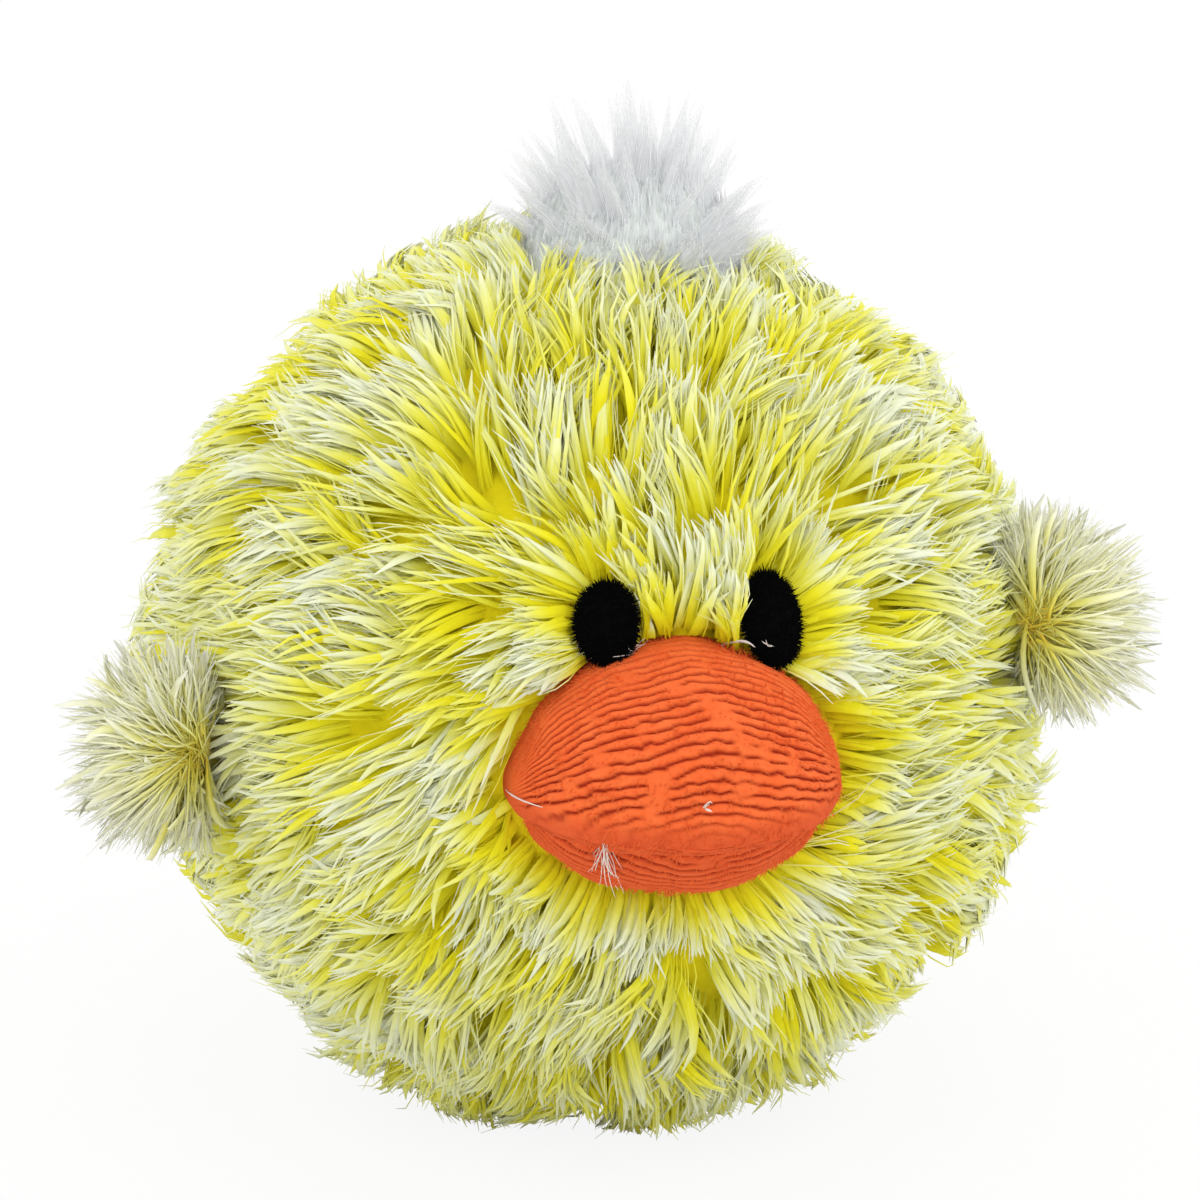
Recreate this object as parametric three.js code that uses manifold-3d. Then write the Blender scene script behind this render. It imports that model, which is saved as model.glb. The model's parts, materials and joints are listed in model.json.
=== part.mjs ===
import * as THREE from 'three';
import { mergeVertices } from 'three/addons/utils/BufferGeometryUtils.js';
import Module from 'manifold-3d';

// Round plush chick ball with a squeaker inside, in millimetres, +Z up, the face towards -Y.
// Left and right are the toy's own. Every piece is shaped about the middle of the ball.

// Cover: the pile's reach, its cloth backing, the flat foot and the turned-in seam allowances
const pileRadius = 53.5;
const backingRadius = 43.2;
const backingThickness = 1.2;
const footRadius = 13;
const seamDip = 0.9;
const seamSharpness = 6;
const seamGap = 0.3;
const seatGap = 0.3;
const allowanceDepth = 3.4;
const allowanceThickness = 1.2;
const cutOverrun = 6;

// Seams of the cover in degrees round from the face towards the toy's left
const frontSeam = 0;
const wingLeftSeam = 63;
const rearLeftSeam = 121;
const backSeam = 180;
const rearRightSeam = 237;
const wingRightSeam = 291;

// The pile lies in soft waves and opens at its partings
const waveDepth = 2;
const wavesRound = 8;
const wavesUp = 6;
const waveTwist = 1.4;
const partingDepth = 3.6;

// Crown: the round patch and the bunch of long white locks
const crownLean = 6;
const crownLeanAzimuth = 90;
const poleLatitude = 90;
const patchRadius = 8.9;
const patchThickness = 1.1;
const tuftBaseMargin = 0.6;
const tuftFlareRadius = 12.8;
const tuftReach = 13.5;
const tuftLockDepth = 1.5;
const tuftLocks = 9;
const tuftLockSegments = 5;
const tuftNeckRiseShare = 0.2;
const tuftNeckLockShare = 0.33;

// Eyes
const eyeWidth = 8.2;
const eyeHeight = 11.4;
const eyeEdge = 1.3;
const eyeCrown = 2.9;
const eyeSeatDepth = 5;
const eyeLeftAzimuth = 14.6;
const eyeRightAzimuth = -9;
const eyeLatitude = 23.6;

// Bill: two padded panels over one wad, meeting in the mouth fold
const billAzimuth = 0.5;
const mouthHeight = 1.6;
const billStandOff = 2.3;
const upperHalfWidth = 20;
const upperReach = 19.3;
const upperRise = 17.8;
const lowerHalfWidth = 18.6;
const lowerReach = 16.6;
const lowerDrop = 12.2;
const billPanelThickness = 1.7;

// Wings: stuffed nubs on a tab that is caught in the side seam
const wingLength = 13.4;
const wingHalfSpan = 11.2;
const wingHalfThickness = 6;
const wingRootRadius = 1.2;
const wingRootRollShare = 0.67;
const wingLeftLatitude = 12.8;
const wingRightLatitude = 0.4;
const tabHeight = 15;
const tabThickness = 1.2;
const tabTuckIn = 3.2;

// Squeaker: base plate, pleated bellows and top plate
const squeakerRadius = 17;
const squeakerHeight = 29;
const plateThickness = 1.8;
const rimWidth = 1.6;
const rimHeight = 3.4;
const bossWall = 1.5;
const bossHeight = 3.6;
const buttonRadius = 8;
const buttonRise = 1.4;
const buttonShoulderShare = 0.86;
const buttonShoulderRiseShare = 0.7;
const buttonTopShare = 0.6;
const bellowsPleatDepth = 3.6;
const bellowsWall = 0.9;
const bellowsCollar = 1.6;
const bellowsPleats = 5;

// Reed plug, with the bore breaking through its flat under the reed
const plugFlangeRadius = 6.2;
const plugFlangeThickness = 1.2;
const plugRadius = 4.2;
const plugLength = 10.5;
const plugBoreRadius = 1.3;
const plugBoreEnd = 1.2;
const plugFlatOffset = 1;
const reedWidth = 3.2;
const reedLength = 6;
const reedThickness = 0.25;
const clipLength = 2.6;

// Facets
const pileSegments = 60;
const pileRings = 28;
const innerSegments = 30;
const innerRings = 14;
const billSegments = 28;
const billRings = 16;
const nubSegments = 20;
const turnSegments = 24;
const smallSegments = 20;
const faceCorners = 3;

const wasm = await Module();
wasm.setup();

const radians = THREE.MathUtils.degToRad;
const centreHeight = Math.sqrt(pileRadius ** 2 - footRadius ** 2);
const innerRadius = backingRadius - backingThickness;
const cutRadius = pileRadius + cutOverrun;

const finishes = {
  yellowPile: { color: 0xe9e14a, roughness: 0.95, metalness: 0 },
  whitePile: { color: 0xe9eef0, roughness: 0.95, metalness: 0 },
  whiteFelt: { color: 0xdfe4df, roughness: 0.9, metalness: 0 },
  orangePlush: { color: 0xe9581f, roughness: 0.9, metalness: 0 },
  blackFelt: { color: 0x0c0c0c, roughness: 0.9, metalness: 0 },
  fibrefill: { color: 0xf4f4f0, roughness: 1, metalness: 0 },
  yellowTape: { color: 0xd8cd3c, roughness: 0.9, metalness: 0 },
  palePlastic: { color: 0xf1efe6, roughness: 0.45, metalness: 0 },
  softPlastic: { color: 0xe4e9ec, roughness: 0.35, metalness: 0 },
  redPlastic: { color: 0xc4382c, roughness: 0.4, metalness: 0 },
  reedBrass: { color: 0xc9a24a, roughness: 0.3, metalness: 1 },
};

// Solids from geometries and back

function toSolid(geometry) {
  const bare = geometry.clone();
  bare.deleteAttribute('normal');
  bare.deleteAttribute('uv');
  const merged = mergeVertices(bare);
  const corners = Array.from(merged.index.array);
  const kept = [];
  for (let corner = 0; corner < corners.length; corner += faceCorners) {
    const [a, b, c] = corners.slice(corner, corner + faceCorners);
    if (a !== b && b !== c && c !== a) kept.push(a, b, c);
  }
  const vertProperties = new Float32Array(merged.attributes.position.array);
  return new wasm.Manifold(new wasm.Mesh({ numProp: 3, vertProperties, triVerts: new Uint32Array(kept) }));
}

function toGeometry(solid) {
  const mesh = solid.getMesh();
  const geometry = new THREE.BufferGeometry();
  geometry.setAttribute('position', new THREE.BufferAttribute(new Float32Array(mesh.vertProperties), 3));
  geometry.setIndex(new THREE.BufferAttribute(new Uint32Array(mesh.triVerts), 1));
  geometry.computeVertexNormals();
  return geometry;
}

function cutAway(solid, cutters) {
  return cutters.reduce((rest, cutter) => rest.subtract(cutter), solid);
}

function placed(solid, frame) {
  return solid.transform(frame.elements);
}

// Closed skin of rings, from the pole at the top to the pole at the bottom
function ringSkin(segments, rings, pointAt) {
  const positions = [...pointAt(0, 0)];
  const indices = [];
  for (let ring = 1; ring < rings; ring += 1) {
    for (let step = 0; step < segments; step += 1) {
      positions.push(...pointAt((step / segments) * 2 * Math.PI, ring));
    }
  }
  positions.push(...pointAt(0, rings));
  const last = 1 + (rings - 1) * segments;
  const at = (ring, step) => 1 + (ring - 1) * segments + (step % segments);
  for (let step = 0; step < segments; step += 1) {
    indices.push(0, at(1, step), at(1, step + 1));
    for (let ring = 1; ring < rings - 1; ring += 1) {
      indices.push(at(ring, step), at(ring + 1, step), at(ring + 1, step + 1));
      indices.push(at(ring, step), at(ring + 1, step + 1), at(ring, step + 1));
    }
    indices.push(at(rings - 1, step), last, at(rings - 1, step + 1));
  }
  const geometry = new THREE.BufferGeometry();
  geometry.setAttribute('position', new THREE.Float32BufferAttribute(positions, 3));
  geometry.setIndex(indices);
  return toSolid(geometry);
}

function ellipsoid(halfX, halfY, halfZ, segments, rings) {
  const unit = new THREE.SphereGeometry(1, segments, rings).rotateX(Math.PI / 2);
  return toSolid(unit.scale(halfX, halfY, halfZ));
}

function ball(radius) {
  return ellipsoid(radius, radius, radius, innerSegments, innerRings);
}

// Box by its lowest and highest corners
function block(low, high) {
  const size = high.map((value, axis) => value - low[axis]);
  const middle = high.map((value, axis) => (value + low[axis]) / 2);
  return toSolid(new THREE.BoxGeometry(...size).translate(...middle));
}

// Turned solid from a closed outline of [radius, height] points, listed upwards on the outside
function turned(outline, segments = turnSegments) {
  const points = [...outline, outline[0]].map(([radius, height]) => new THREE.Vector2(radius, height));
  return toSolid(new THREE.LatheGeometry(points, segments).rotateX(Math.PI / 2));
}

function disc(radius, bottom, top, segments = turnSegments) {
  return turned([[0, bottom], [radius, bottom], [radius, top], [0, top]], segments);
}

// Azimuth 0 is the face and grows to the toy's left; latitude grows upwards
function outwards(turn, rise) {
  return new THREE.Vector3(Math.sin(turn) * Math.cos(rise), -Math.cos(turn) * Math.cos(rise), Math.sin(rise));
}

// Frame on the ball: x along it to the toy's left, y up along it, z straight out
function frameOnBall(azimuth, latitude, radius) {
  const turn = radians(azimuth);
  const out = outwards(turn, radians(latitude));
  const side = new THREE.Vector3(Math.cos(turn), Math.sin(turn), 0);
  const up = new THREE.Vector3().crossVectors(out, side);
  const frame = new THREE.Matrix4().makeBasis(side, up, out);
  return frame.setPosition(out.multiplyScalar(radius));
}

// Cover of six gores, each with its two seam allowances turned in

const seams = [frontSeam, wingLeftSeam, rearLeftSeam, backSeam, rearRightSeam, wingRightSeam];
const goreNames = ['front_left', 'side_left', 'rear_left', 'rear_right', 'side_right', 'front_right'];

function seamAfter(index) {
  return index + 1 < seams.length ? seams[index + 1] : seams[0] + 360;
}

// Partings of the pile: azimuth, latitude and spread in degrees
const partings = [
  [-20, 44, 8],
  [-21, 33, 8],
  [-42, 22, 8],
  [-62, -12, 8],
  [-34, -18, 8],
  [-4, -40, 9],
  [26, -28, 8],
  [48, 4, 8],
  [22, 47, 8],
  [58, 38, 8],
  [102, 45, 9],
  [98, -14, 8],
  [140, 12, 9],
  [128, -38, 9],
  [178, 35, 9],
  [196, -30, 9],
  [222, 14, 9],
  [262, 44, 9],
  [258, -34, 9],
];

// How far the pile lies below its longest reach. The waves fade out over the crown and the foot.
function pileHollow(azimuth, polar) {
  const latitude = Math.PI / 2 - polar;
  const round = Math.cos(wavesRound * azimuth + waveTwist * Math.sin(2 * latitude));
  const wave = (waveDepth * (1 - round * Math.cos(wavesUp * latitude))) / 2;
  const out = outwards(azimuth, latitude);
  const openings = partings.map(([turn, rise, spread]) => {
    const away = out.angleTo(outwards(radians(turn), radians(rise)));
    return partingDepth * Math.exp(-((away / radians(spread)) ** 2));
  });
  return (wave + Math.max(...openings)) * Math.sin(polar) ** 2;
}

// The stuffed cover swells between its seams and is drawn in along them
function pileReach(azimuth, polar) {
  const degrees = THREE.MathUtils.radToDeg(azimuth);
  const index = seams.findLastIndex((seam) => seam <= degrees);
  const share = (degrees - seams[index]) / (seamAfter(index) - seams[index]);
  const drawnIn = Math.abs(Math.cos(share * Math.PI)) ** seamSharpness;
  return pileRadius - seamDip * drawnIn * Math.sin(polar) - pileHollow(azimuth, polar);
}

function pileSkin() {
  return ringSkin(pileSegments, pileRings, (azimuth, ring) => {
    const polar = (ring / pileRings) * Math.PI;
    return outwards(azimuth, Math.PI / 2 - polar).multiplyScalar(pileReach(azimuth, polar)).toArray();
  });
}

// Slice of the ball between two seam planes, with each side drawn back by an inset
function wedge(fromSeam, toSeam, inset) {
  const start = radians(fromSeam);
  const end = radians(toSeam);
  const middle = (start + end) / 2;
  const setBack = inset / Math.sin((end - start) / 2);
  const corner = (angle, radius) => new THREE.Vector2(
    setBack * Math.sin(middle) + radius * Math.sin(angle),
    -setBack * Math.cos(middle) - radius * Math.cos(angle),
  );
  const outline = [corner(start, 0), corner(start, 2 * cutRadius), corner(middle, 2 * cutRadius)];
  outline.push(corner(end, 2 * cutRadius));
  const slice = new THREE.ExtrudeGeometry(new THREE.Shape(outline), { depth: 2 * cutRadius, bevelEnabled: false });
  return toSolid(slice.translate(0, 0, -cutRadius));
}

function coverGore(index, wells) {
  const whole = wedge(seams[index], seamAfter(index), seamGap / 2);
  const clearOfAllowance = wedge(seams[index], seamAfter(index), seamGap / 2 + allowanceThickness);
  const hollow = ball(innerRadius).intersect(clearOfAllowance);
  const shell = pileSkin().subtract(ball(innerRadius - allowanceDepth)).subtract(hollow);
  return cutAway(shell.intersect(whole), wells);
}

function floorBelow() {
  return block([-cutRadius, -cutRadius, -2 * cutRadius], [cutRadius, cutRadius, -centreHeight]);
}

// Crown: a round patch, and the flaring bunch of locks that grows out of it

const crownFrame = frameOnBall(crownLeanAzimuth, poleLatitude - crownLean, 0);
const patchSeat = backingRadius + seatGap;
const tuftSeat = patchSeat + patchThickness + seatGap;

function crownWell() {
  return placed(disc(patchRadius + seatGap, backingRadius, cutRadius), crownFrame);
}

function crownPatch() {
  return placed(disc(patchRadius, patchSeat, patchSeat + patchThickness), crownFrame);
}

// Rows of the tuft from its top: share of the flare, share of the reach, share of the lock depth
const tuftRowShares = [[0.42, 0.98, 0.5], [0.72, 0.9, 0.9], [0.93, 0.74, 1], [1, 0.58, 1], [0.95, 0.4, 0.8]];

function crownTuft() {
  const top = pileRadius + tuftReach;
  const flared = tuftRowShares.map(([wide, high, lock]) => [
    tuftFlareRadius * wide,
    pileRadius + tuftReach * high,
    tuftLockDepth * lock,
  ]);
  const neckRadius = (patchRadius + tuftFlareRadius) / 2;
  const neck = [[neckRadius, pileRadius + tuftReach * tuftNeckRiseShare, tuftLockDepth * tuftNeckLockShare]];
  const base = patchRadius - tuftBaseMargin;
  const inWell = [[patchRadius, pileRadius, 0], [base, (pileRadius + tuftSeat) / 2, 0], [base, tuftSeat, 0]];
  const rows = [[0, top, 0], ...flared, ...neck, ...inWell, [0, tuftSeat, 0]];
  const skin = ringSkin(tuftLocks * tuftLockSegments, rows.length - 1, (angle, ring) => {
    const [radius, height, lock] = rows[ring];
    const reach = radius + lock * Math.cos(tuftLocks * angle);
    return [reach * Math.cos(angle), reach * Math.sin(angle), height + (lock * Math.cos(tuftLocks * angle)) / 2];
  });
  return placed(skin, crownFrame);
}

// Bill: the outer lobes are ellipsoids about the root line, parted at the mouth

function lobe(halfWidth, reach, rise, change) {
  const whole = ellipsoid(halfWidth + change, reach + change, rise + change, billSegments, billRings);
  return whole.translate(0, -backingRadius - billStandOff, mouthHeight).rotate(0, 0, billAzimuth);
}

function upperLobe(change) {
  return lobe(upperHalfWidth, upperReach, upperRise, change);
}

function lowerLobe(change) {
  return lobe(lowerHalfWidth, lowerReach, lowerDrop, change);
}

function aboveMouth(height) {
  return block([-cutRadius, -2 * cutRadius, height], [cutRadius, 0, cutRadius]);
}

function belowMouth(height) {
  return block([-cutRadius, -2 * cutRadius, -cutRadius], [cutRadius, 0, height]);
}

function billWell() {
  const upper = upperLobe(seatGap).intersect(aboveMouth(mouthHeight - seatGap));
  const lower = lowerLobe(seatGap).intersect(belowMouth(mouthHeight));
  return upper.add(lower).subtract(ball(backingRadius));
}

function billPanel(outer, hollow, side) {
  return outer.subtract(hollow).intersect(side).subtract(ball(backingRadius + seatGap));
}

function billUpper() {
  return billPanel(upperLobe(0), upperLobe(-billPanelThickness), aboveMouth(mouthHeight + seamGap / 2));
}

function billLower() {
  return billPanel(lowerLobe(0), lowerLobe(-billPanelThickness), belowMouth(mouthHeight - seamGap / 2));
}

function billFill() {
  const slack = -billPanelThickness - seatGap;
  const upper = upperLobe(slack).intersect(aboveMouth(mouthHeight + seamGap / 2));
  const lower = lowerLobe(slack).intersect(belowMouth(mouthHeight + seamGap));
  return upper.add(lower).subtract(ball(backingRadius + seatGap));
}

// Eyes: domed ovals that sit in shorn wells, their lower ends under the bill

const eyeDomeShares = [[0.93, 0.42], [0.76, 0.72], [0.46, 0.94], [0, 1]];

function oval(halfX, halfY, outline) {
  const unit = turned(outline, turnSegments);
  return unit.scale([halfX, halfY, 1]);
}

function eye(azimuth) {
  const dome = eyeDomeShares.map(([wide, high]) => [wide, eyeEdge + (eyeCrown - eyeEdge) * high]);
  const pad = oval(eyeWidth / 2, eyeHeight / 2, [[0, 0], [1, 0], [1, eyeEdge], ...dome]);
  return placed(pad, frameOnBall(azimuth, eyeLatitude, pileRadius - eyeSeatDepth)).subtract(upperLobe(seatGap));
}

function eyeWell(azimuth) {
  const halfX = eyeWidth / 2 + seatGap;
  const halfY = eyeHeight / 2 + seatGap;
  const hole = oval(halfX, halfY, [[0, -seatGap], [1, -seatGap], [1, cutRadius], [0, cutRadius]]);
  return placed(hole, frameOnBall(azimuth, eyeLatitude, pileRadius - eyeSeatDepth));
}

// Wings: nubs that turn about their rolled root, just clear of the pile

const hingeRadius = pileRadius + wingRootRadius + seatGap;

// Rows of a nub from its tip: share of the thickness, share of the span, share of the length
const nubRowShares = [
  [0.5, 0.5, 0.93],
  [0.82, 0.8, 0.8],
  [1, 0.97, 0.6],
  [0.94, 1, 0.42],
  [0.7, 0.92, 0.25],
  [0.42, 0.8, 0.12],
];

function wingNub() {
  const swollen = nubRowShares.map(([thick, span, high]) => [
    wingHalfThickness * thick,
    wingHalfSpan * span,
    wingLength * high,
  ]);
  const roll = wingRootRadius * wingRootRollShare;
  const rolled = [[wingRootRadius, tabHeight / 2, 0], [roll, tabHeight / 2, -roll]];
  const rows = [[0, 0, wingLength], ...swollen, ...rolled, [0, 0, -wingRootRadius]];
  return ringSkin(nubSegments, rows.length - 1, (angle, ring) => {
    const [halfX, halfY, height] = rows[ring];
    return [halfX * Math.cos(angle), halfY * Math.sin(angle), height];
  });
}

// Half of a nub, on the side towards plus or minus x of its frame
function wingPanel(azimuth, latitude, side) {
  const low = side > 0 ? seamGap / 2 : -2 * wingHalfThickness;
  const high = side > 0 ? 2 * wingHalfThickness : -seamGap / 2;
  const half = block([low, -2 * wingHalfSpan, -wingLength], [high, 2 * wingHalfSpan, 2 * wingLength]);
  return placed(wingNub().intersect(half), frameOnBall(azimuth, latitude, hingeRadius));
}

function tabBlock(clearance, top) {
  const halfX = tabThickness / 2 + clearance;
  const halfY = tabHeight / 2 + clearance;
  const bottom = innerRadius - tabTuckIn - clearance;
  return block([-halfX, -halfY, bottom], [halfX, halfY, top]);
}

function wingTab(azimuth, latitude) {
  return placed(tabBlock(0, hingeRadius - wingRootRadius - seatGap), frameOnBall(azimuth, latitude, 0));
}

function tabSlot(azimuth, latitude) {
  return placed(tabBlock(seatGap, cutRadius), frameOnBall(azimuth, latitude, 0));
}

// Squeaker about the ball's upright axis

const squeakerBottom = -squeakerHeight / 2;
const squeakerTop = squeakerHeight / 2;
const plugBore = plugRadius + seatGap;
const plugBottom = squeakerBottom - seatGap - plugFlangeThickness;
const plugTop = squeakerBottom - seatGap + plugLength;

function squeakerBase() {
  const floor = squeakerBottom + plateThickness;
  const rim = squeakerBottom + rimHeight;
  const bossRadius = plugBore + bossWall;
  return turned([
    [plugBore, squeakerBottom],
    [squeakerRadius, squeakerBottom],
    [squeakerRadius, rim],
    [squeakerRadius - rimWidth, rim],
    [squeakerRadius - rimWidth, floor],
    [bossRadius, floor],
    [bossRadius, squeakerBottom + bossHeight],
    [plugBore, squeakerBottom + bossHeight],
  ]);
}

function squeakerTopPlate() {
  const ceiling = squeakerTop - plateThickness;
  const rim = squeakerTop - rimHeight;
  return turned([
    [0, ceiling],
    [squeakerRadius - rimWidth, ceiling],
    [squeakerRadius - rimWidth, rim],
    [squeakerRadius, rim],
    [squeakerRadius, squeakerTop],
    [buttonRadius, squeakerTop],
    [buttonRadius * buttonShoulderShare, squeakerTop + buttonRise * buttonShoulderRiseShare],
    [buttonRadius * buttonTopShare, squeakerTop + buttonRise],
    [0, squeakerTop + buttonRise],
  ]);
}

function squeakerBellows() {
  const wide = squeakerRadius - rimWidth - seatGap;
  const narrow = wide - bellowsPleatDepth;
  const bottom = squeakerBottom + plateThickness + seatGap;
  const top = squeakerTop - plateThickness - seatGap;
  const pitch = (top - bottom - 2 * bellowsCollar) / bellowsPleats;
  const outside = [[wide, bottom]];
  for (let pleat = 0; pleat < bellowsPleats; pleat += 1) {
    const start = bottom + bellowsCollar + pleat * pitch;
    outside.push([wide, start]);
    outside.push([narrow, start + pitch / 2]);
  }
  outside.push([wide, top - bellowsCollar]);
  outside.push([wide, top]);
  const inside = outside.map(([radius, height]) => [radius - bellowsWall, height]).reverse();
  return turned([...outside, ...inside]);
}

function reedPlug() {
  const flange = disc(plugFlangeRadius, plugBottom, squeakerBottom - seatGap, smallSegments);
  const barrel = disc(plugRadius, plugBottom, plugTop, smallSegments);
  const flatStart = squeakerBottom + bossHeight;
  const flat = block([plugFlatOffset, -cutRadius, flatStart], [cutRadius, cutRadius, cutRadius]);
  const bore = disc(plugBoreRadius, plugBottom - cutOverrun, plugTop - plugBoreEnd, smallSegments);
  return cutAway(flange.add(barrel), [flat, bore]);
}

const reedStart = squeakerBottom + bossHeight + seatGap;
const reedBack = plugFlatOffset + seatGap;

function reed() {
  const front = reedBack + reedThickness;
  return block([reedBack, -reedWidth / 2, reedStart], [front, reedWidth / 2, reedStart + reedLength]);
}

function reedClip() {
  const back = reedBack + reedThickness + seatGap;
  const round = disc(plugRadius, reedStart, reedStart + clipLength, smallSegments);
  return round.intersect(block([back, -cutRadius, -cutRadius], [cutRadius, cutRadius, cutRadius]));
}

// Fibrefill: two wads round the squeaker, slotted for the seam allowances

function squeakerPocket() {
  const wide = squeakerRadius + seatGap;
  const plate = disc(wide, squeakerBottom - seatGap, squeakerTop + buttonRise + seatGap);
  const underFlange = disc(plugFlangeRadius + seatGap, plugBottom - seatGap, squeakerBottom);
  return plate.add(underFlange);
}

function allowanceSlots() {
  const half = seamGap / 2 + allowanceThickness + seatGap;
  const slots = seams.map((seam) => block([-half, -cutRadius, -cutRadius], [half, 0, cutRadius]).rotate(0, 0, seam));
  const joined = slots.reduce((all, slot) => all.add(slot));
  return joined.subtract(ball(innerRadius - allowanceDepth - seatGap));
}

function stuffing(side) {
  const low = side > 0 ? seamGap / 2 : -cutRadius;
  const high = side > 0 ? cutRadius : -seamGap / 2;
  const half = block([-cutRadius, -cutRadius, low], [cutRadius, cutRadius, high]);
  return cutAway(ball(innerRadius - seatGap).intersect(half), [squeakerPocket(), allowanceSlots()]);
}

// The assembled toy

const toy = new THREE.Group();

function addPiece(name, solid, finish) {
  const mesh = new THREE.Mesh(toGeometry(solid), new THREE.MeshStandardMaterial(finishes[finish]));
  mesh.name = name;
  toy.add(mesh);
}

function addWing(name, azimuth, latitude, frontSide) {
  addPiece(`${name}_front`, wingPanel(azimuth, latitude, frontSide), 'yellowPile');
  addPiece(`${name}_back`, wingPanel(azimuth, latitude, -frontSide), 'yellowPile');
  addPiece(`${name}_tab`, wingTab(azimuth, latitude), 'yellowTape');
}

const wells = [
  floorBelow(),
  crownWell(),
  billWell(),
  eyeWell(eyeLeftAzimuth),
  eyeWell(eyeRightAzimuth),
  tabSlot(wingLeftSeam, wingLeftLatitude),
  tabSlot(wingRightSeam, wingRightLatitude),
];

goreNames.forEach((name, index) => addPiece(`cover_gore_${name}`, coverGore(index, wells), 'yellowPile'));
addPiece('crown_patch', crownPatch(), 'whiteFelt');
addPiece('crown_tuft', crownTuft(), 'whitePile');
addPiece('eye_left', eye(eyeLeftAzimuth), 'blackFelt');
addPiece('eye_right', eye(eyeRightAzimuth), 'blackFelt');
addPiece('bill_upper', billUpper(), 'orangePlush');
addPiece('bill_lower', billLower(), 'orangePlush');
addPiece('bill_fill', billFill(), 'fibrefill');
addWing('wing_left', wingLeftSeam, wingLeftLatitude, -1);
addWing('wing_right', wingRightSeam, wingRightLatitude, 1);
addPiece('stuffing_upper', stuffing(1), 'fibrefill');
addPiece('stuffing_lower', stuffing(-1), 'fibrefill');
addPiece('squeaker_base', squeakerBase(), 'palePlastic');
addPiece('squeaker_bellows', squeakerBellows(), 'softPlastic');
addPiece('squeaker_top', squeakerTopPlate(), 'palePlastic');
addPiece('reed_plug', reedPlug(), 'redPlastic');
addPiece('reed', reed(), 'reedBrass');
addPiece('reed_clip', reedClip(), 'redPlastic');

// The origin lies on the floor under the middle of the toy's own box
const span = new THREE.Box3().setFromObject(toy);
const middle = span.getCenter(new THREE.Vector3());
toy.position.set(-middle.x, -middle.y, centreHeight);

export default toy;
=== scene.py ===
import json
import math

import bmesh
import bpy
import numpy as np
from mathutils import Matrix, Vector
from mathutils.bvhtree import BVHTree

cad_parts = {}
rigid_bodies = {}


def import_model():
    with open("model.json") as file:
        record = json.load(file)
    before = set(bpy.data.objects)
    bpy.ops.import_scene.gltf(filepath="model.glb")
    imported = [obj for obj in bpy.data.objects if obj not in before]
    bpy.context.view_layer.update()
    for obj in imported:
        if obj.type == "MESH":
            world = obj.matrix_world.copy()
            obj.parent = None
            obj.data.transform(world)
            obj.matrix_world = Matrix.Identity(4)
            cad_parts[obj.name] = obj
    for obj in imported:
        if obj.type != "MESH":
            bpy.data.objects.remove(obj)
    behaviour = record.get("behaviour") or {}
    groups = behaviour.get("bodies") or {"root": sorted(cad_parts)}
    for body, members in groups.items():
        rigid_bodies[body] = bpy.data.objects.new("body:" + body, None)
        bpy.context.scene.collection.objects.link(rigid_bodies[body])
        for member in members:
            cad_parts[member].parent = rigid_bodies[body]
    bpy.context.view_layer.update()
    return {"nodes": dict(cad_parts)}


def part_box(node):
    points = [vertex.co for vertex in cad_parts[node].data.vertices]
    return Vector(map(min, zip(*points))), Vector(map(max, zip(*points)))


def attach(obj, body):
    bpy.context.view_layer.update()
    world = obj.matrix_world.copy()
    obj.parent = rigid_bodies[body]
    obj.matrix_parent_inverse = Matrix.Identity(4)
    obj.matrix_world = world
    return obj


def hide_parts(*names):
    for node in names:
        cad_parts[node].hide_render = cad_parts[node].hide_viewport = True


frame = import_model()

scene = bpy.context.scene
mm = 0.001


# Places on the ball: azimuth runs from the face towards the toy's left, latitude up from its middle

goreSeams = {  # the seam that each gore starts at, in degrees of azimuth
    "front_left": 0,
    "side_left": 63,
    "rear_left": 121,
    "rear_right": 180,
    "side_right": 237,
    "front_right": 291,
}

upperWad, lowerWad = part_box("stuffing_upper"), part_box("stuffing_lower")
ballCentre = np.array([
    (upperWad[0].x + upperWad[1].x) / 2,
    (upperWad[0].y + upperWad[1].y) / 2,
    (upperWad[0].z + lowerWad[1].z) / 2,
])


def nodePoints(name):
    mesh = frame["nodes"][name].data
    found = np.zeros(len(mesh.vertices) * 3, np.float32)
    mesh.vertices.foreach_get("co", found)
    return found.reshape(-1, 3).astype(float)


def nodeCentre(name):
    low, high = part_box(name)
    return np.array((low + high) / 2)


def unit(vectors):
    return vectors / np.maximum(np.linalg.norm(vectors, axis=-1, keepdims=True), 1e-12)


pileRadius = max(
    np.linalg.norm(nodePoints("cover_gore_" + name) - ballCentre, axis=1).max() for name in goreSeams
)
seamEnds = list(goreSeams.values()) + [360]


def onBall(azimuth, latitude):
    turn, rise = math.radians(azimuth), math.radians(latitude)
    return np.array([math.sin(turn) * math.cos(rise), -math.cos(turn) * math.cos(rise), math.sin(rise)])


def ballAxes(out):
    # level along the ball, up along it and straight out of it, at the place that out points to
    side = unit(np.cross([0, 0, 1], out))
    return np.array([side, np.cross(out, side), out])


def along(normals, vectors):
    # the part of the vectors that lies along the surface, made one long
    return unit(vectors - normals * np.sum(normals * vectors, axis=-1, keepdims=True))


def angleTo(place, normals):
    return np.degrees(np.arccos(np.clip(normals @ place, -1, 1)))


def smoothStep(values, low, high):
    share = np.clip((values - low) / (high - low), 0, 1)
    return share * share * (3 - 2 * share)


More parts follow.
